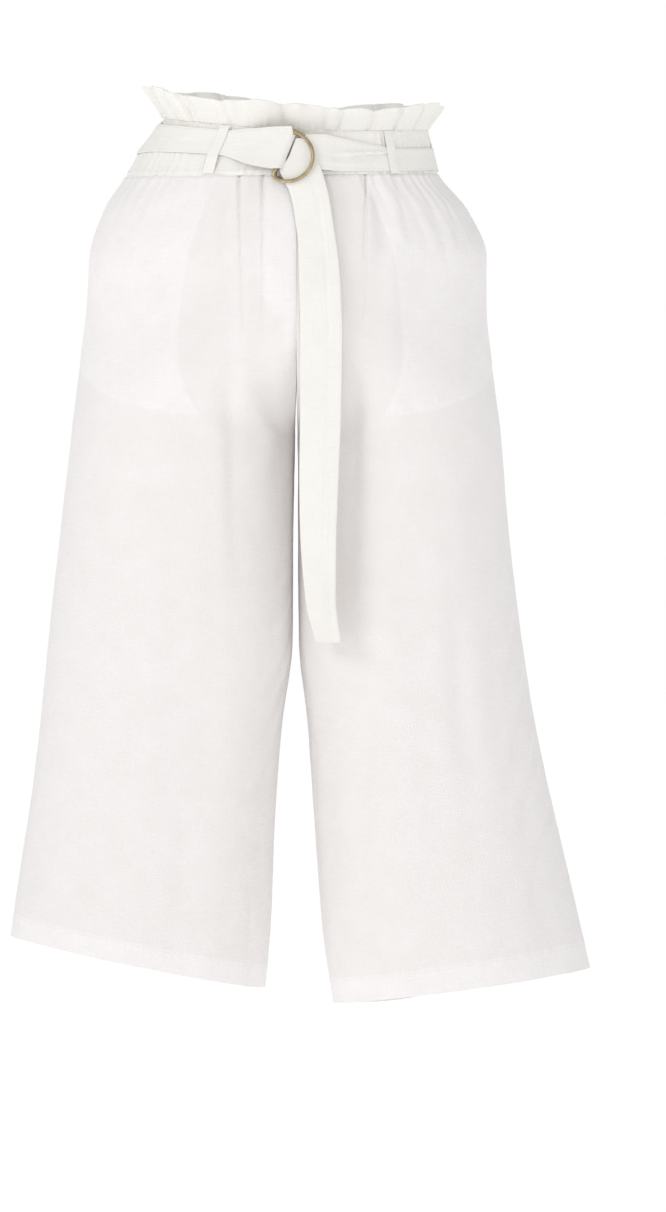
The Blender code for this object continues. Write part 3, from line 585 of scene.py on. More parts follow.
def layers(side, face, drop, u):
    """How much doubled cloth lies at a place, from 0 for one layer to 1: there the painted see-through
    shade of one layer is taken away, so the cloth is painted whiter.
    """
    width = panel_width(side, face, drop)
    total = BAG_SHADE_LIFT * bag_inside(face, drop, u)
    for from_seam in (u * width, (1.0 - u) * width):
        allowance = smooth_step(SEAM_ALLOWANCE - from_seam, -0.0012, 0.0012)
        total = np.maximum(total, allowance * SEAM_SHADE_LIFT)
    if (side, face) == ("right", "front"):
        corner = FACING_LOW + 0.014 - 0.020 * smooth_step(u, FACING_FROM + 0.05, FACING_FROM)
        facing = smooth_step(u, FACING_FROM - 0.005, FACING_FROM + 0.005)
        above = smooth_step(corner - drop, -0.0015, 0.0015)
        total = np.maximum(total, facing * above * FACING_SHADE_LIFT)
    hem_top = HEM - HEM_DEPTH
    total = np.maximum(total, smooth_step(drop, hem_top - 0.001, hem_top + 0.001))
    return np.broadcast_to(total, u.shape)


# ---- mesh helpers ---------------------------------------------------------------------------
def add_shell(name, points, faces, wall, uv, doubled, material, nodes):
    """A sheet, its outer side given, as a thin closed shell with its cloth coordinates."""
    mesh = bpy.data.meshes.new(name)
    mesh.from_pydata([tuple(p) for p in points], [], faces)
    uv_layer = mesh.uv_layers.new(name="cloth")
    loop_vertices = np.zeros(len(mesh.loops), dtype=np.int32)
    mesh.loops.foreach_get("vertex_index", loop_vertices)
    uv_layer.data.foreach_set("uv", np.asarray(uv, dtype=np.float32)[loop_vertices].ravel())
    # the layers attribute tells the linen how much of its painted see-through shade to leave out
    attribute = mesh.attributes.new("layers", "FLOAT", "POINT")
    attribute.data.foreach_set("value", np.asarray(doubled, dtype=np.float32))
    mesh.materials.append(material)
    mesh.shade_smooth()
    shell = bpy.data.objects.new(name, mesh)
    bpy.context.scene.collection.objects.link(shell)
    solidify = shell.modifiers.new("Wall", "SOLIDIFY")
    solidify.thickness = wall
    solidify.offset = -1.0
    bpy.ops.object.select_all(action="DESELECT")
    shell.select_set(True)
    bpy.context.view_layer.objects.active = shell
    bpy.ops.object.modifier_apply(modifier=solidify.name)
    shell.data.set_sharp_from_angle(angle=EDGE_ANGLE)
    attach(shell, "root")
    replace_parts(shell, *nodes)
    return shell


def grid_faces(rows, columns, closed=False, flip=False):
    faces = []
    for r in range(rows - 1):
        for c in range(columns if closed else columns - 1):
            d = (c + 1) % columns
            quad = (r * columns + c, r * columns + d, (r + 1) * columns + d, (r + 1) * columns + c)
            faces.append(quad[::-1] if flip else quad)
    return faces


def cloth_uv(grid):
    """Cloth coordinates in metres: along each row, and down the middle column."""
    steps = np.linalg.norm(np.diff(grid, axis=1), axis=2)
    along = np.concatenate([np.zeros((grid.shape[0], 1)), np.cumsum(steps, axis=1)], axis=1)
    falls = np.linalg.norm(np.diff(grid[:, grid.shape[1] // 2], axis=0), axis=1)
    down = np.concatenate([[0.0], np.cumsum(falls)])
    return np.stack([along, np.broadcast_to(-down[:, None], along.shape)], axis=2)


def add_grid(name, grid, wall, doubled, material, nodes, closed=False, flip=False):
    grid = np.asarray(grid)
    rows, columns = grid.shape[:2]
    doubled = np.broadcast_to(np.asarray(doubled, dtype=float), (rows, columns))
    return add_shell(name, grid.reshape(-1, 3), grid_faces(rows, columns, closed, flip), wall,
                     cloth_uv(grid).reshape(-1, 2), doubled.reshape(-1), material, nodes)


def inward(side, face):
    """Whether a grid of rows down and u across has to be flipped to face outwards."""
    return (side == "right") == (face == "front")


def spread(*stretches):
    """Values from stretches of (low, high, step), the last value included once."""
    values = []
    for low, high, step in stretches:
        count = max(1, round((high - low) / step))
        values += [low + (high - low) * k / count for k in range(count)]
    return values + [stretches[-1][1]]


# ---- the legs -------------------------------------------------------------------------------
def tuck(drop):
    """How far a panel's top edge is tucked in behind the casing."""
    return -TUCK_DEPTH * float(smooth_step(PANEL_TOP + 0.0022 - drop, 0.0, 0.0030))


def leg_cloth(side, face):
    drops = spread((PANEL_TOP - 0.004, 0.120, 0.0021), (0.120, 0.300, 0.0034),
                   (0.300, HEM - 0.03, 0.0053), (HEM - 0.03, HEM, 0.0021))
    u = np.linspace(0.0, 1.0, LEG_ACROSS)
    grid, doubled = [], []
    for drop in drops:
        level = max(drop, PANEL_TOP)
        lift = cloth_lift(side, face, level, u) + tuck(drop)
        grid.append(surface(side, face, drop, u, lift))
        doubled.append(layers(side, face, level, u))
    piece = add_grid(f"{face}_{side}_cloth", grid, CLOTH, doubled, leg_linen(), [f"{face}_{side}"],
                     flip=inward(side, face))


def leg_round(side, drop, columns, lift):
    """Points of a leg's front and of its back at a level, both from the side seam."""
    u = np.linspace(0.0, 1.0, columns)
    return [surface(side, face, drop, u, cloth_lift(side, face, drop, u) + lift)
            for face in ("front", "back")]


def hem_cloth(side):
    """The hem's turned-up cloth inside the leg."""
    rows = []
    for drop in spread((HEM - HEM_DEPTH, HEM - 0.0004, 0.0036)):
        front, back = leg_round(side, drop, HEM_ACROSS, -(CLOTH + GAP))
        rows.append(np.concatenate([front, back[::-1][1:-1]]))
    piece = add_grid(f"hem_{side}_cloth", rows, LINING_WALL, 1.0, leg_linen(), [f"hem_{side}"],
                     closed=True, flip=side == "right")


def facing_cloth():
    """The facing behind the wearer's right front, along the centre seam."""
    rows = []
    for drop in spread((0.030, FACING_LOW + 0.012, 0.004)):
        rounded = 0.05 * float(smooth_step(drop, FACING_LOW - 0.008, FACING_LOW + 0.014)) ** 2
        u = np.linspace(FACING_FROM + rounded, 0.998, 15)
        lift = cloth_lift("right", "front", drop, u) - seam_dip(u) - (CLOTH + 4.0 * GAP)
        rows.append(surface("right", "front", drop, u, lift))
    piece = add_grid("fly_facing_cloth", rows, LINING_WALL, 1.0, leg_linen(), ["fly_facing"],
                     flip=inward("right", "front"))


def bag_cloth(side):
    """A pocket bag: two layers joined at every edge but the mouth, where the hand goes in."""
    columns, rows = 26, 34
    points, index, uv = [], {}, []
    mouth_rows = [r for r in range(rows + 1)
                  if MOUTH_TOP < BAG_TOP + (BAG_SIDE_END - BAG_TOP) * r / rows < MOUTH_LOW]
    for inner_layer in (False, True):
        for r in range(rows + 1):
            down = r / rows
            level = BAG_TOP + (BAG_SIDE_END - BAG_TOP) * down
            mouth = float(bump(level, MOUTH_TOP, MOUTH_LOW))
            for c in range(columns + 1):
                in_mouth = c == 0 and r in mouth_rows
                joined = (c in (0, columns) or r in (0, rows)) and not in_mouth
                if inner_layer and joined:
                    index[True, r, c] = index[False, r, c]
                    continue
                across = c / columns
                low = BAG_SIDE_END + (BAG_LOW - BAG_SIDE_END) * math.sin(0.5 * math.pi * across)
                drop = BAG_TOP + (level - BAG_TOP) * (low - BAG_TOP) / (BAG_SIDE_END - BAG_TOP)
                inner_u = BAG_INNER_TOP + (BAG_INNER_LOW - BAG_INNER_TOP) * down
                u = BAG_OUTER + (inner_u - BAG_OUTER) * across
                behind = SOLID_CLOTH + GAP + BAG_CLEARANCE
                behind += 0.0022 * math.exp(-(drop - PANEL_TOP) / 0.045)
                if joined:
                    behind += BAG_EDGE
                elif inner_layer:
                    from_side = mouth + (1.0 - mouth) * min(1.0, across / 0.2)
                    from_edges = min(1.0, (1.0 - across) / 0.2, down / 0.2, (1.0 - down) / 0.15)
                    behind += BAG_FILL * min(from_side, from_edges)
                    behind += 0.0010 * noise.noise(Vector((across * 5.0, down * 5.0, 4.0)))
                lift = float(fold_height(side, "front", drop, np.array([u]))[0]) - behind
                index[inner_layer, r, c] = len(points)
                points.append(surface(side, "front", drop, [u], np.array([lift]))[0])
                uv.append((across * BAG_WIDTH, -down * BAG_LENGTH))
    faces = []
    for inner_layer in (False, True):
        for r in range(rows):
            for c in range(columns):
                places = ((r, c), (r, c + 1), (r + 1, c + 1), (r + 1, c))
                quad = [index[inner_layer, *place] for place in places]
                faces.append(quad[::-1] if inward(side, "front") != inner_layer else quad)
    piece = add_shell(f"pocket_bag_{side}_cloth", points, faces, LINING_WALL, uv,
                      np.ones(len(points)), leg_linen(), [f"pocket_bag_{side}"])


# ---- the waist ------------------------------------------------------------------------------
def belt_value(name, turn):
    return table_value(BELT, BELT_COLUMNS, name, turn)


def casing_phase(turns):
    """Counts the casing's puckers, which are unevenly spaced."""
    return (CASING_GATHERS * turns / 360.0 + 0.55 * np.sin(np.radians(7.0 * turns))
            + 0.38 * np.sin(np.radians(19.0 * turns + 50.0)))


def casing_gather(turns, drop):
    """Fine puckers of the elastic channel, flatter where the belt presses on them."""
    turns = np.asarray(turns, dtype=float) % 360.0
    phase = casing_phase(turns)
    height = 0.15 + 0.85 * hashed(np.floor(phase), 3.0) ** 1.4
    crest = (1.0 - np.cos(math.tau * (phase - np.floor(phase)))) / 2.0
    inside = [min(drop - belt_value("top", turn), belt_value("low", turn) - drop) for turn in turns]
    pressed = smooth_step(inside, -0.005, 0.002)
    depth = CASING_FREE * (1.0 - pressed) + CASING_PRESSED * pressed
    channel = 1.0 - 0.6 * math.exp(-((drop - CASING_TOP) / 0.002) ** 2)
    return depth * channel * (height * crest - 0.3)


def casing_cloth():
    turns = np.arange(CASING_COLUMNS) * 360.0 / CASING_COLUMNS
    rows = []
    edge = PANEL_TOP - 0.001, PANEL_TOP + 0.0012
    for drop in spread((CASING_TOP, edge[0], 0.0021), (*edge, 0.0008)):
        turned_in = 0.0005 * float(smooth_step(drop, *edge))
        ridge = CASING_RIDGE * math.exp(-((drop - PANEL_TOP + 0.0035) / 0.0016) ** 2)
        rows.append(round_row(turns, drop, casing_gather(turns, drop) - turned_in + ridge))
    piece = add_grid("casing_cloth", rows, CASING_WALL, 1.0, belt_linen(), ["waist_casing"], closed=True)


def frill_wave(turns, rise):
    """How far the frill stands out; rise runs from 0 at its foot to 1 at its edge."""
    uneven = 1.0 + 0.30 * np.sin(np.radians(3.0 * turns + 40.0))
    drift = 2.1 * np.sin(np.radians(2.0 * turns))
    broad = FRILL_SHARE * FRILL_DEPTH * (0.12 + 0.88 * rise) * uneven * np.cos(
        np.radians(FRILL_WAVES * (turns + drift)))
    phase = casing_phase(turns)
    crest = (1.0 - np.cos(math.tau * (phase - np.floor(phase)))) / 2.0
    fine = 0.0016 * (0.3 + 0.7 * hashed(np.floor(phase), 3.0)) * (crest - 0.4) * (1.0 - rise) ** 1.5
    second = 0.0007 * rise * np.sin(np.radians(41.0 * turns + 60.0 * rise))
    puffs = frill_puffs(turns) * (0.30 + 0.70 * rise) * (1.0 - 0.25 * rise ** 4)
    folds = np.zeros_like(turns)
    for at, step, width in FRILL_FOLDS:
        off = (turns - at + 180.0) % 360.0 - 180.0
        beyond = off * math.copysign(1.0, step) - 2.0 * rise
        slope = np.exp(-np.maximum(beyond, 0.0) / width)
        near = np.exp(-(np.minimum(beyond, 0.0) / 2.5) ** 2)
        folds += abs(step) * (0.35 + 0.65 * rise) * slope * smooth_step(beyond, -0.6, 0.5) * near
        folds -= FRILL_GROOVE * (0.6 + 0.4 * rise) * np.exp(-((beyond + 0.6) / 1.3) ** 2)
    return broad + fine + second + folds + puffs


def frill_puffs(turns):
    """Between one fold and the next the frill stands out in a round puff."""
    edges = sorted(row[0] for row in FRILL_FOLDS)
    total = np.zeros_like(turns)
    for start, end in zip(edges, edges[1:] + [edges[0] + 360.0]):
        along = np.minimum(((turns - start) % 360.0) / (end - start), 1.0)
        round_top = np.maximum(np.sin(math.pi * along), 0.0) ** 0.55
        total += np.where(along < 1.0, PUFF_DEPTH * min(1.0, (end - start) / 14.0) * round_top, 0.0)
    return total


def frill_cloth():
    turns = np.arange(FRILL_COLUMNS) * 360.0 / FRILL_COLUMNS
    foot = CASING_TOP - GAP
    rows = []
    for rise in spread((0.0, 0.9, 0.075), (0.9, 1.0, 0.02))[::-1]:
        level = foot + rise * (FRILL_TOP - foot)
        points = round_row(turns, level, frill_wave(turns, rise) - 0.0008 * (1.0 - rise) ** 6)
        points[:, 2] += 0.003 * rise * np.sin(np.radians(5.0 * turns + 70.0))
        points[:, 2] += PUFF_RISE * rise * frill_puffs(turns) / PUFF_DEPTH
        rows.append(points)
    piece = add_grid("frill_cloth", rows, FRILL_WALL, 1.0, belt_linen(), ["frill"], closed=True)


def belt_row(turn, lift, lean=0.0, highest=FRILL_TOP, wrinkle=0.0):
    """Points across the belt, from its top edge to its low one, at one place round the waist."""
    top, low = max(belt_value("top", turn), highest), belt_value("low", turn)
    row = []
    for part in np.linspace(0.0, 1.0, BELT_ACROSS):
        drop = top + part * (low - top)
        x, y, z = casing_point(turn, drop, lift + wrinkle * belt_wrinkle(turn, part))
        row.append((x + lean * math.tan(RING_LEAN) * (z - RING_Z), y, z))
    return row


def belt_rim(part):
    """How the strip's two edges round off; part runs across it from 0 to 1."""
    return -0.0004 * math.exp(-(min(part, 1.0 - part) / 0.05) ** 2)


def belt_wrinkle(turn, part):
    """Creases along the belt, and its slightly rounded edges."""
    slack = 0.00045 * noise.noise(Vector((math.radians(turn) * 9.0, part * 1.6, 1.0)))
    lengthwise = 0.0
    for start, end, part_1, part_2, height in BELT_CREASES:
        if start < turn < end:
            along = (turn - start) / (end - start)
            across = (part - part_1 - (part_2 - part_1) * along) / 0.06
            lengthwise += height * math.sin(math.pi * along) ** 0.5 * (
                math.exp(-across ** 2) - 0.7 * math.exp(-(across - 1.8) ** 2))
    return belt_rim(part) + slack + lengthwise


def casing_point(turn, drop, lift=0.0):
    """A point off the solid casing, whose face is straight between its own few levels."""
    k = 0
    while k < len(CASING_LEVELS) - 2 and drop > CASING_LEVELS[k + 1]:
        k += 1
    part = (drop - CASING_LEVELS[k]) / (CASING_LEVELS[k + 1] - CASING_LEVELS[k])
    upper, lower = (round_row([turn], level, lift)[0] for level in CASING_LEVELS[k:k + 2])
    return upper + part * (lower - upper)


def turn_at(x):
    """The turn at which the front of the waist lies at x."""
    side = "right" if x < 0.0 else "left"
    return math.degrees(math.asin(-x / leg_value(side, "outer", 0.0)))


def front_drop(z):
    """The drop of a height at the centre front, where the casing's upper part is drawn together."""
    level = z + FRONT_DIP
    return level * CASING_TOP / leg_value("right", "inner_z", CASING_TOP) if level > 0.0 else -level


def belt_cloth():
    """The strip from its sewn-down end, over the ring bars and round the waist to the rings' bow."""
    radius, middle = 0.5 * (FOLD_HIGH - FOLD_LOW), 0.5 * (FOLD_HIGH + FOLD_LOW)
    fold_x = RING_X - 0.0003
    rows = [belt_row(turn_at(x), 0.0022, 1.0, SEWN_TOP) for x in np.linspace(-0.050, -0.027, 12)]
    for step in range(17):
        angle = math.radians(-90.0 + 11.25 * step)
        x = fold_x + radius * math.cos(angle)
        highest = SEWN_TOP + (BELT[0][1] - SEWN_TOP) * max(0.0, step - 12.0) / 4.0
        rows.append(belt_row(turn_at(x), middle + radius * math.sin(angle), 1.0, highest))
    first, last = turn_at(fold_x), BELT[-1][0]
    steps = round((last - first) / BELT_STEP)
    for step in range(1, steps + 1):
        turn = first + (last - first) * step / steps
        lean = max(1.0 - (turn - first) / 20.0, 1.0 - (last - turn) / 12.0, 0.0)
        slack = float(smooth_step(turn, 8.0, 20.0))
        rows.append(belt_row(turn, belt_value("lift", turn), lean, wrinkle=slack))
    piece = add_grid("belt_cloth", rows, BELT_WALL, 1.0, belt_linen(), ["belt"], flip=True)
    return rows


def tail_cloth():
    """The belt's free end, hanging from between the rings in front of the wearer's left leg."""
    rows = []
    for fall in spread((TAIL[0][0], TAIL[-1][0], 0.0028)):
        edge, seen, out, turned = (table_value(TAIL, TAIL_COLUMNS, name, fall)
                                   for name in TAIL_COLUMNS[1:])
        drop = min(front_drop(-fall), TAIL_LEAVES)
        seen += TAIL_SPREAD * float(smooth_step(fall, 0.012, 0.030) - smooth_step(fall, 0.036, 0.110))
        if drop < PANEL_TOP:
            under = casing_point(0.0, drop)
        else:
            under = surface("left", "front", drop, [1.0], 0.0)[0]
        row = []
        for part in np.linspace(0.0, 1.0, TAIL_ACROSS):
            slack = 0.0007 * noise.noise(Vector((part * 1.5, fall * 11.0, 8.0)))
            turned_in = TAIL_TURNED_IN + 0.02 * math.sin(fall * 14.0)
            along = (-TAIL_PLEAT * float(smooth_step(turned_in - part, -0.01, 0.03))
                     - 0.0007 * math.exp(-((part - turned_in) / 0.022) ** 2))
            held = float(smooth_step(fall, 0.03, 0.10))
            y = under[1] - out + turned * part - (slack - along) * held - belt_rim(part)
            row.append((edge - seen * part, y, -fall))
        rows.append(row)
    piece = add_grid("tail_cloth", rows, BELT_WALL, 1.0, belt_linen(), ["belt_tail"])
    return rows


def loop_cloth(number, turn):
    """A strap over the belt, its ends brought in to the casing where the belt leaves room."""
    top, low, lift = (belt_value(name, turn) for name in ("top", "low", "lift"))
    seated = LOOP_END + GAP + LOOP_WALL
    over = lift + LOOP_SLOPE * (GAP + LOOP_WALL)
    stops = [(top - LOOP_CLEAR, over), (low + LOOP_CLEAR, over)]
    if top - CASING_TOP > LOOP_ROOM:
        stops.insert(0, (CASING_TOP + LOOP_END, seated))
    if PANEL_TOP - low > LOOP_ROOM:
        stops.append((PANEL_TOP - 0.001, seated))
    half = math.degrees(0.5 * LOOP_WIDTH / MEAN_WAIST_RADIUS)
    rows = []
    for drop in spread((stops[0][0], stops[-1][0], 0.0012)):
        out = float(np.interp(drop, *zip(*stops)))
        rows.append([casing_point(turn + half * part, drop, out - 0.0003 * part ** 4
                                  + 0.00015 * math.cos(math.tau * part))
                     for part in np.linspace(-1.0, 1.0, LOOP_ACROSS)])
    piece = add_grid(f"loop_{number}_cloth", rows, LOOP_WALL, 1.0, belt_linen(),
                     [f"belt_loop_{number}"])


# ---- stitching ------------------------------------------------------------------------------
# one stitch: (along, across, up) of its corners, as parts of its length, width and height
STITCH_CORNERS = ((-0.50, 0.0, 0.0), (-0.25, -0.5, 0.0), (-0.25, 0.0, 1.0), (-0.25, 0.5, 0.0),
                  (0.25, -0.5, 0.0), (0.25, 0.0, 1.0), (0.25, 0.5, 0.0), (0.50, 0.0, 0.0))
STITCH_FACES = ((0, 1, 2), (0, 2, 3), (1, 4, 5, 2), (2, 5, 6, 3), (4, 7, 5), (5, 7, 6),
                (0, 3, 6, 7, 4, 1))
STITCH_LENGTH = 0.0026
STITCH_PITCH = 0.0034
STITCH_WIDTH = 0.0007
STITCH_HEIGHT = 0.0004
STITCH_SUNK = 0.0001      # how far its foot lies in the cloth
OUTER_LINE = 0.001        # how far off the cloth a line's outer line runs
POCKET_STITCH = 0.0065    # how far in from the pocket's mouth it is stitched
FLY_STITCH = 0.006        # how far in from the facing's edge, in u
TAIL_SEAM = 15            # column of the tail down which its inner line runs


def stitch_places(line, outer_line):
    """Middles and directions of the stitches along a line; outer_line lies off its cloth."""
    line, outer_line = np.asarray(line), np.asarray(outer_line)
    steps = np.linalg.norm(np.diff(line, axis=0), axis=1)
    along = np.concatenate([[0.0], np.cumsum(steps)])
    count = int(along[-1] / STITCH_PITCH)
    at = (np.arange(count) + 0.5) * along[-1] / count

    def value(points, where):
        return np.stack([np.interp(where, along, points[:, k]) for k in range(3)], axis=1)

    middle = value(line, at)
    forward = value(line, at + 0.0008) - value(line, at - 0.0008)
    forward /= np.linalg.norm(forward, axis=1)[:, None]
    up = value(outer_line, at) - middle
    side_way = np.cross(up, forward)
    side_way /= np.linalg.norm(side_way, axis=1)[:, None]
    return middle, forward, side_way, np.cross(forward, side_way)


def add_stitches(name, lines):
    """All the stitches of one group as one piece; lines are pairs of a line and its outer line."""
    points, faces = [], []
    for line, outer_line in lines:
        for middle, forward, side_way, up in zip(*stitch_places(line, outer_line)):
            first = len(points)
            for a, b, c in STITCH_CORNERS:
                points.append(middle + forward * (a * STITCH_LENGTH) + side_way * (b * STITCH_WIDTH)
                              + up * (c * STITCH_HEIGHT - STITCH_SUNK))
            faces += [tuple(first + k for k in face) for face in STITCH_FACES]
    mesh = bpy.data.meshes.new(name)
    mesh.from_pydata([tuple(p) for p in points], [], faces)
    mesh.materials.append(cotton_thread())
    piece = bpy.data.objects.new(name, mesh)
    bpy.context.scene.collection.objects.link(piece)
    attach(piece, "root")


def cloth_point(side, face, drop, u, out=0.0):
    level = max(drop, PANEL_TOP)
    u = np.array([u])
    return surface(side, face, drop, u, cloth_lift(side, face, level, u) + out)[0]


def cloth_line(side, face, places):
    """A line and its outer line through (drop, u) places of a panel."""
    return tuple([cloth_point(side, face, drop, u, out) for drop, u in places]
                 for out in (0.0, OUTER_LINE))


def around_hem(side, drop):
    """The stitched line round a hem, and its outer line."""
    rounds = [leg_round(side, drop, 240, out) for out in (0.0, OUTER_LINE)]
    return tuple(np.concatenate([front, back[::-1]]) for front, back in rounds)


def sew_legs():
    for side in ("right", "left"):
        add_stitches(f"hem_stitches_{side}", [around_hem(side, HEM - HEM_DEPTH + 0.0022)])
        mouth = [(d, POCKET_STITCH / panel_width(side, "front", d))
                 for d in np.linspace(MOUTH_TOP - 0.004, MOUTH_LOW + 0.004, 60)]
        add_stitches(f"pocket_stitches_{side}", [cloth_line(side, "front", mouth)])
    start, bend = FACING_FROM + FLY_STITCH, FACING_LOW - 0.010
    fly = [(d, start) for d in np.linspace(PANEL_TOP + 0.004, bend, 60)]
    for k in range(1, 13):
        turn = 0.5 * math.pi * k / 12.0
        fly.append((bend + 0.020 * math.sin(turn), start + 0.075 * (1.0 - math.cos(turn))))
    add_stitches("fly_stitches", [cloth_line("right", "front", fly)])


def grid_line(rows, column, wall_side):
    """The line down one column of a grid of rows, and the outer line beside it."""
    grid = np.asarray(rows)
    line = grid[:, column]
    across = grid[:, column + 1] - grid[:, column - 1]
    down = np.gradient(line, axis=0)
    outward = np.cross(across, down) * wall_side
    outward /= np.linalg.norm(outward, axis=1)[:, None]
    return line, line + OUTER_LINE * outward


def sew_waist(belt_rows, tail_rows):
    turns = np.arange(0.0, 360.01, 0.5)
    lines = []
    for drop, ridge in ((CASING_TOP + 0.0022, 0.0), (PANEL_TOP - 0.0035, CASING_RIDGE)):
        lift = casing_gather(turns, drop) + ridge
        lines.append(tuple(round_row(turns, drop, lift + out) for out in (0.0, OUTER_LINE)))
    add_stitches("casing_stitches", lines)
    edges = (1, BELT_ACROSS - 2)
    add_stitches("belt_stitches", [grid_line(belt_rows, column, 1.0) for column in edges])
    add_stitches("tail_stitches", [grid_line(tail_rows, column, -1.0) for column in (1, TAIL_SEAM)])


# ---- materials ------------------------------------------------------------------------------
def colour(code):
    """A six-figure sRGB colour as linear red, green, blue and alpha."""
    values = [int(code[k:k + 2], 16) / 255.0 for k in (0, 2, 4)]
    linear = [v / 12.92 if v <= 0.04045 else ((v + 0.055) / 1.055) ** 2.4 for v in values]
    return *linear, 1.0


def add_node(tree, kind, values=None, **settings):
    """A node with its own settings, and a socket set or linked for each of values."""
    node = tree.nodes.new(kind)
    for name, value in settings.items():
        setattr(node, name, value)
    for socket, value in (values or {}).items():
        if isinstance(value, bpy.types.NodeSocket):
            tree.links.new(value, node.inputs[socket])
        else:
            node.inputs[socket].default_value = value
    return node


def new_material(name):
    material = bpy.data.materials.new(name)
    material.use_nodes = True
    return material, material.node_tree, material.node_tree.nodes["Principled BSDF"]


@cache
def linen(name, single, double, shade):
    """Washed linen plain weave, woven of slubby yarns, so its grain runs in uneven streaks."""
    material, tree, shader = new_material(name)
    coordinates = add_node(tree, "ShaderNodeUVMap", uv_map="cloth").outputs["UV"]
    doubled = add_node(tree, "ShaderNodeAttribute", attribute_name="layers").outputs["Fac"]

    # slubs are thick places a few centimetres long in the yarns, across and down the cloth; the
    # weave itself is drawn at 1.1 mm a yarn because the real 0.4 mm would be lost
    streaks, yarns = {}, {}
    for k, (scale, axis) in enumerate((((60.0, 900.0, 1.0), "X"), ((900.0, 60.0, 1.0), "Y"))):
        drawn = add_node(tree, "ShaderNodeMapping", {"Vector": coordinates, "Scale": scale})
        streaks[k] = add_node(tree, "ShaderNodeTexNoise", {
            "Vector": drawn.outputs["Vector"], "Scale": 1.0, "Detail": 2.0}).outputs["Fac"]
        yarns[k] = add_node(tree, "ShaderNodeTexWave", {
            "Vector": coordinates, "Scale": 145.0, "Distortion": 1.5, "Detail": 1.0,
            "Detail Scale": 3.0}, wave_type="BANDS", bands_direction=axis).outputs["Fac"]
    slubs = add_node(tree, "ShaderNodeMath", streaks, operation="ADD")
    weave = add_node(tree, "ShaderNodeMath", yarns, operation="ADD")
    grain = add_node(tree, "ShaderNodeMath", {0: slubs.outputs[0], 1: 1.6}, operation="MULTIPLY")
    relief = add_node(tree, "ShaderNodeMath", {0: weave.outputs[0], 1: grain.outputs[0]}, operation="ADD")
    bump_node = add_node(tree, "ShaderNodeBump", {"Height": relief.outputs[0], "Strength": 0.17,
                                                  "Distance": 0.0005})
    tree.links.new(bump_node.outputs["Normal"], shader.inputs["Normal"])

    # painted see-through shade: one layer is painted darker, as if the shaded inside showed through it,
    # and two layers are painted whiter; the grain darkens both a little
    body = add_node(tree, "ShaderNodeMix", {"Factor": doubled, "A": colour(single), "B": colour(double)},
                    data_type="RGBA")
    clouds = add_node(tree, "ShaderNodeTexNoise", {"Vector": coordinates, "Scale": 30.0, "Detail": 3.0})
    uneven = add_node(tree, "ShaderNodeMath", {0: slubs.outputs[0], 1: clouds.outputs["Fac"]},
                      operation="ADD")
    shaded = add_node(tree, "ShaderNodeMapRange", {"Value": uneven.outputs[0], "From Min": 1.05,
                                                   "From Max": 1.95, "To Min": 0.0, "To Max": 0.5})
    tinted = add_node(tree, "ShaderNodeMix", {"Factor": shaded.outputs["Result"],
                                              "A": body.outputs["Result"], "B": colour(shade)},
                      data_type="RGBA")
    tree.links.new(tinted.outputs["Result"], shader.inputs["Base Color"])
    shader.inputs["Roughness"].default_value = 0.88
    shader.inputs["Sheen Weight"].default_value = 0.12
    shader.inputs["Sheen Roughness"].default_value = 0.5
    return material


def leg_linen():
    """Washed white linen in one layer, painted darker with see-through shade, and painted whitest where a
    bag, a facing or a hem doubles it.
    """
    return linen("washed white linen, single layer", "F2EFEE", "F8F5F5", "E5E2DF")


def belt_linen():
    """The same linen doubled and pressed, as in the casing, frill, belt and loops."""
    return linen("washed white linen, doubled", "F6F4F0", "F6F4F0", "E8E5DE")


@cache
def cotton_thread():
    """Matt white sewing thread, a shade whiter than the cloth."""
    material, tree, shader = new_material("white cotton thread, twisted")
    place = add_node(tree, "ShaderNodeTexCoord").outputs["Object"]
    twist = add_node(tree, "ShaderNodeTexNoise", {"Vector": place, "Scale": 900.0, "Detail": 2.0})
    tone = add_node(tree, "ShaderNodeMix", {"Factor": twist.outputs["Fac"], "A": colour("F6F4F0"),
                                            "B": colour("E6E1D8")}, data_type="RGBA")
    tree.links.new(tone.outputs["Result"], shader.inputs["Base Color"])
    shader.inputs["Roughness"].default_value = 0.75
    return material


@cache
def antique_brass():
    """Cast brass with a brushed satin plating, browner where the plating has dulled."""
    material, tree, shader = new_material("antique brass, cast and satin plated")
    place = add_node(tree, "ShaderNodeTexCoord").outputs["Object"]
    dull = add_node(tree, "ShaderNodeTexNoise", {"Vector": place, "Scale": 110.0, "Detail": 4.0,
                                                 "Roughness": 0.6})
    fine = add_node(tree, "ShaderNodeTexNoise", {"Vector": place, "Scale": 1400.0, "Detail": 2.0})
    tone = add_node(tree, "ShaderNodeMix", {"Factor": dull.outputs["Fac"], "A": colour("E2D3B0"),
                                            "B": colour("7E6A45")}, data_type="RGBA")
    tree.links.new(tone.outputs["Result"], shader.inputs["Base Color"])
    gloss = add_node(tree, "ShaderNodeMapRange", {"Value": dull.outputs["Fac"], "From Min": 0.3,
                                                  "From Max": 0.7, "To Min": 0.18, "To Max": 0.38})
    tree.links.new(gloss.outputs["Result"], shader.inputs["Roughness"])
    grain = add_node(tree, "ShaderNodeBump", {"Height": fine.outputs["Fac"], "Strength": 0.10,
                                              "Distance": 0.0002})
    tree.links.new(grain.outputs["Normal"], shader.inputs["Normal"])
    shader.inputs["Metallic"].default_value = 1.0
    return material


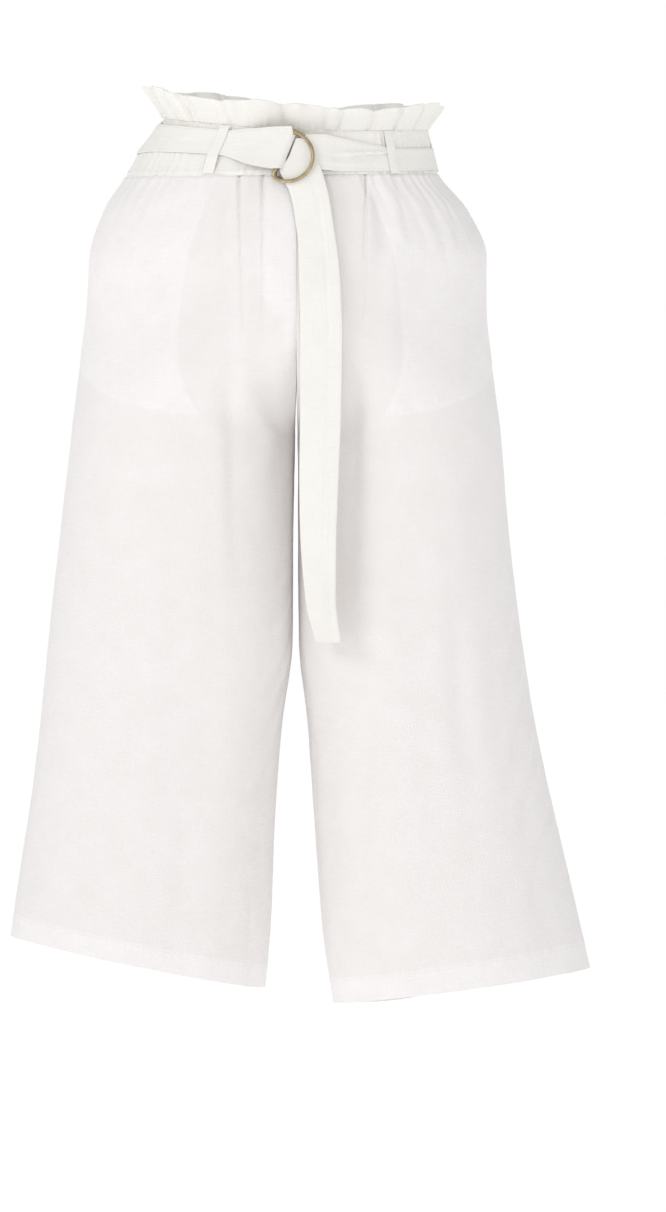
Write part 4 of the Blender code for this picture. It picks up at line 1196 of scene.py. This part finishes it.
def studio_floor():
    """Matt white studio floor, evenly painted."""
    material, tree, shader = new_material("matt white studio floor")
    place = add_node(tree, "ShaderNodeTexCoord").outputs["Object"]
    mottle = add_node(tree, "ShaderNodeTexNoise", {"Vector": place, "Scale": 3.0, "Detail": 2.0})
    tone = add_node(tree, "ShaderNodeMix", {"Factor": mottle.outputs["Fac"], "A": colour("F8F8F8"),
                                            "B": colour("F3F3F3")}, data_type="RGBA")
    tree.links.new(tone.outputs["Result"], shader.inputs["Base Color"])
    shader.inputs["Roughness"].default_value = 0.9
    shader.inputs["Emission Color"].default_value = (1.0, 1.0, 1.0, 1.0)
    shader.inputs["Emission Strength"].default_value = 0.40    # stands for light from a white cove
    return material


# ---- the rings ------------------------------------------------------------------------------
def ring_frame(slid_along, slid_out, bar_lift, bow_lift):
    """Where a ring's bar is centred, and its directions along the bar and out to the bow."""
    half = 0.5 * RING_LENGTH

    def place(along, out):
        along, out = along + slid_along, out + slid_out
        return (RING_X + along * math.sin(RING_LEAN) + out * math.cos(RING_LEAN),
                RING_Z + along * math.cos(RING_LEAN) - out * math.sin(RING_LEAN))

    def over_casing(along, out, lift):
        x, z = place(along, out)
        return casing_point(turn_at(x), front_drop(z), lift)[1]

    upper, lower = over_casing(half, 0.0, bar_lift), over_casing(-half, 0.0, bar_lift)
    bow = over_casing(0.0, RING_DEPTH, bow_lift)
    middle = 0.5 * (upper + lower)
    along = Vector((math.sin(RING_LEAN), (upper - lower) / RING_LENGTH, math.cos(RING_LEAN)))
    out = Vector((math.cos(RING_LEAN), (bow - middle) / RING_DEPTH, -math.sin(RING_LEAN)))
    x, z = place(0.0, 0.0)
    return Vector((x, middle, z)), along.normalized(), out.normalized()


def brass_ring(name, slid_along, slid_out, bar_lift, bow_lift):
    """Wire of round section: a straight bar, tight corners, short shoulders and a round bow."""
    middle, along, out = ring_frame(slid_along, slid_out, bar_lift, bow_lift)
    up = along.cross(out).normalized()
    half, corner = 0.5 * RING_LENGTH, RING_CORNER
    shoulder = RING_DEPTH - half

    def place(a, o):
        return middle + along * a + out * o

    bpy.ops.object.select_all(action="DESELECT")
    turn = Matrix((out, -up, along)).transposed().to_quaternion().to_euler()
    bpy.ops.mesh.primitive_circle_add(vertices=20, radius=0.5 * RING_WIRE, fill_type="NOTHING",
                                      location=place(-(half - corner), 0.0), rotation=turn)
    ring = bpy.context.object
    ring.name = name
    bpy.ops.object.mode_set(mode="EDIT")
    bpy.ops.mesh.select_all(action="SELECT")

    def straight(length, direction, count):
        for _ in range(count):
            bpy.ops.mesh.extrude_region_move(
                TRANSFORM_OT_translate={"value": direction * (length / count)})

    def bend(angle, centre, count):
        bpy.ops.mesh.spin(steps=count, angle=angle, center=centre, axis=up)

    straight(2.0 * (half - corner), along, 6)
    bend(-0.5 * math.pi, place(half - corner, corner), 8)
    straight(shoulder - corner, out, 2)
    bend(-math.pi, place(0.0, shoulder), 36)
    straight(shoulder - corner, -out, 2)
    bend(-0.5 * math.pi, place(-(half - corner), corner), 8)
    bpy.ops.mesh.select_all(action="SELECT")
    bpy.ops.mesh.remove_doubles(threshold=0.00005)
    bpy.ops.mesh.normals_make_consistent(inside=False)
    bpy.ops.object.mode_set(mode="OBJECT")
    bpy.ops.object.transform_apply(location=True, rotation=True, scale=True)
    bpy.ops.object.shade_smooth()
    ring.data.materials.append(antique_brass())
    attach(ring, "root")
    return ring


# ---- pieces ---------------------------------------------------------------------------------
for side_name in ("right", "left"):
    for face_name in ("front", "back"):
        leg_cloth(side_name, face_name)
    hem_cloth(side_name)
    bag_cloth(side_name)
facing_cloth()
casing_cloth()
frill_cloth()
belt_rows = belt_cloth()
tail_rows = tail_cloth()
for loop_number, loop_turn in enumerate(LOOP_TURNS, start=1):
    loop_cloth(loop_number, loop_turn)
for ring_node, *ring_place in RING_PLACES:
    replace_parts(brass_ring(ring_node.replace("d_ring", "ring"), *ring_place), ring_node)
sew_legs()
sew_waist(belt_rows, tail_rows)


# ---- floor, light and camera ----------------------------------------------------------------
FLOOR_LEVEL = -1.10
bpy.ops.object.select_all(action="DESELECT")
bpy.ops.mesh.primitive_plane_add(size=80.0, location=(0.0, 0.0, FLOOR_LEVEL))
floor = bpy.context.object
floor.name = "floor"
floor.data.materials.append(studio_floor())

WHITE = (1.0, 1.0, 1.0, 1.0)
world = bpy.data.worlds.new("white studio")
bpy.context.scene.world = world
world.use_nodes = True
sky = world.node_tree
sky.nodes.clear()
seen = add_node(sky, "ShaderNodeBackground", {"Color": WHITE, "Strength": 1.0})
fill = add_node(sky, "ShaderNodeBackground", {"Color": WHITE, "Strength": 0.67})
path = add_node(sky, "ShaderNodeLightPath")
mixed = add_node(sky, "ShaderNodeMixShader", {0: path.outputs["Is Camera Ray"], 1: fill.outputs[0],
                                              2: seen.outputs[0]})
add_node(sky, "ShaderNodeOutputWorld", {"Surface": mixed.outputs[0]})


def soft_box(name, place, aim, size, watts):
    """A square soft light that faces a point."""
    light = bpy.data.lights.new(name, "AREA")
    light.shape = "SQUARE"
    light.size = size
    light.energy = watts
    lamp = bpy.data.objects.new(name, light)
    bpy.context.scene.collection.objects.link(lamp)
    lamp.location = place
    lamp.rotation_euler = (Vector(aim) - Vector(place)).to_track_quat("-Z", "Y").to_euler()


soft_box("key", (-2.4, -2.6, 1.5), (0.0, 0.0, -0.40), 1.6, 24.0)
soft_box("front_fill", (1.6, -4.6, 0.4), (0.0, 0.0, -0.45), 2.4, 16.0)

CAMERA_PLACE = (0.036, -6.0, -0.456)
camera_data = bpy.data.cameras.new("camera")
camera_data.lens = 178.2
camera_data.sensor_width = 36.0
camera_data.clip_end = 60.0
camera = bpy.data.objects.new("camera", camera_data)
bpy.context.scene.collection.objects.link(camera)
camera.location = CAMERA_PLACE
camera.rotation_euler = (math.radians(90.0), 0.0, 0.0)
bpy.context.scene.camera = camera
bpy.context.scene.view_settings.view_transform = "Standard"
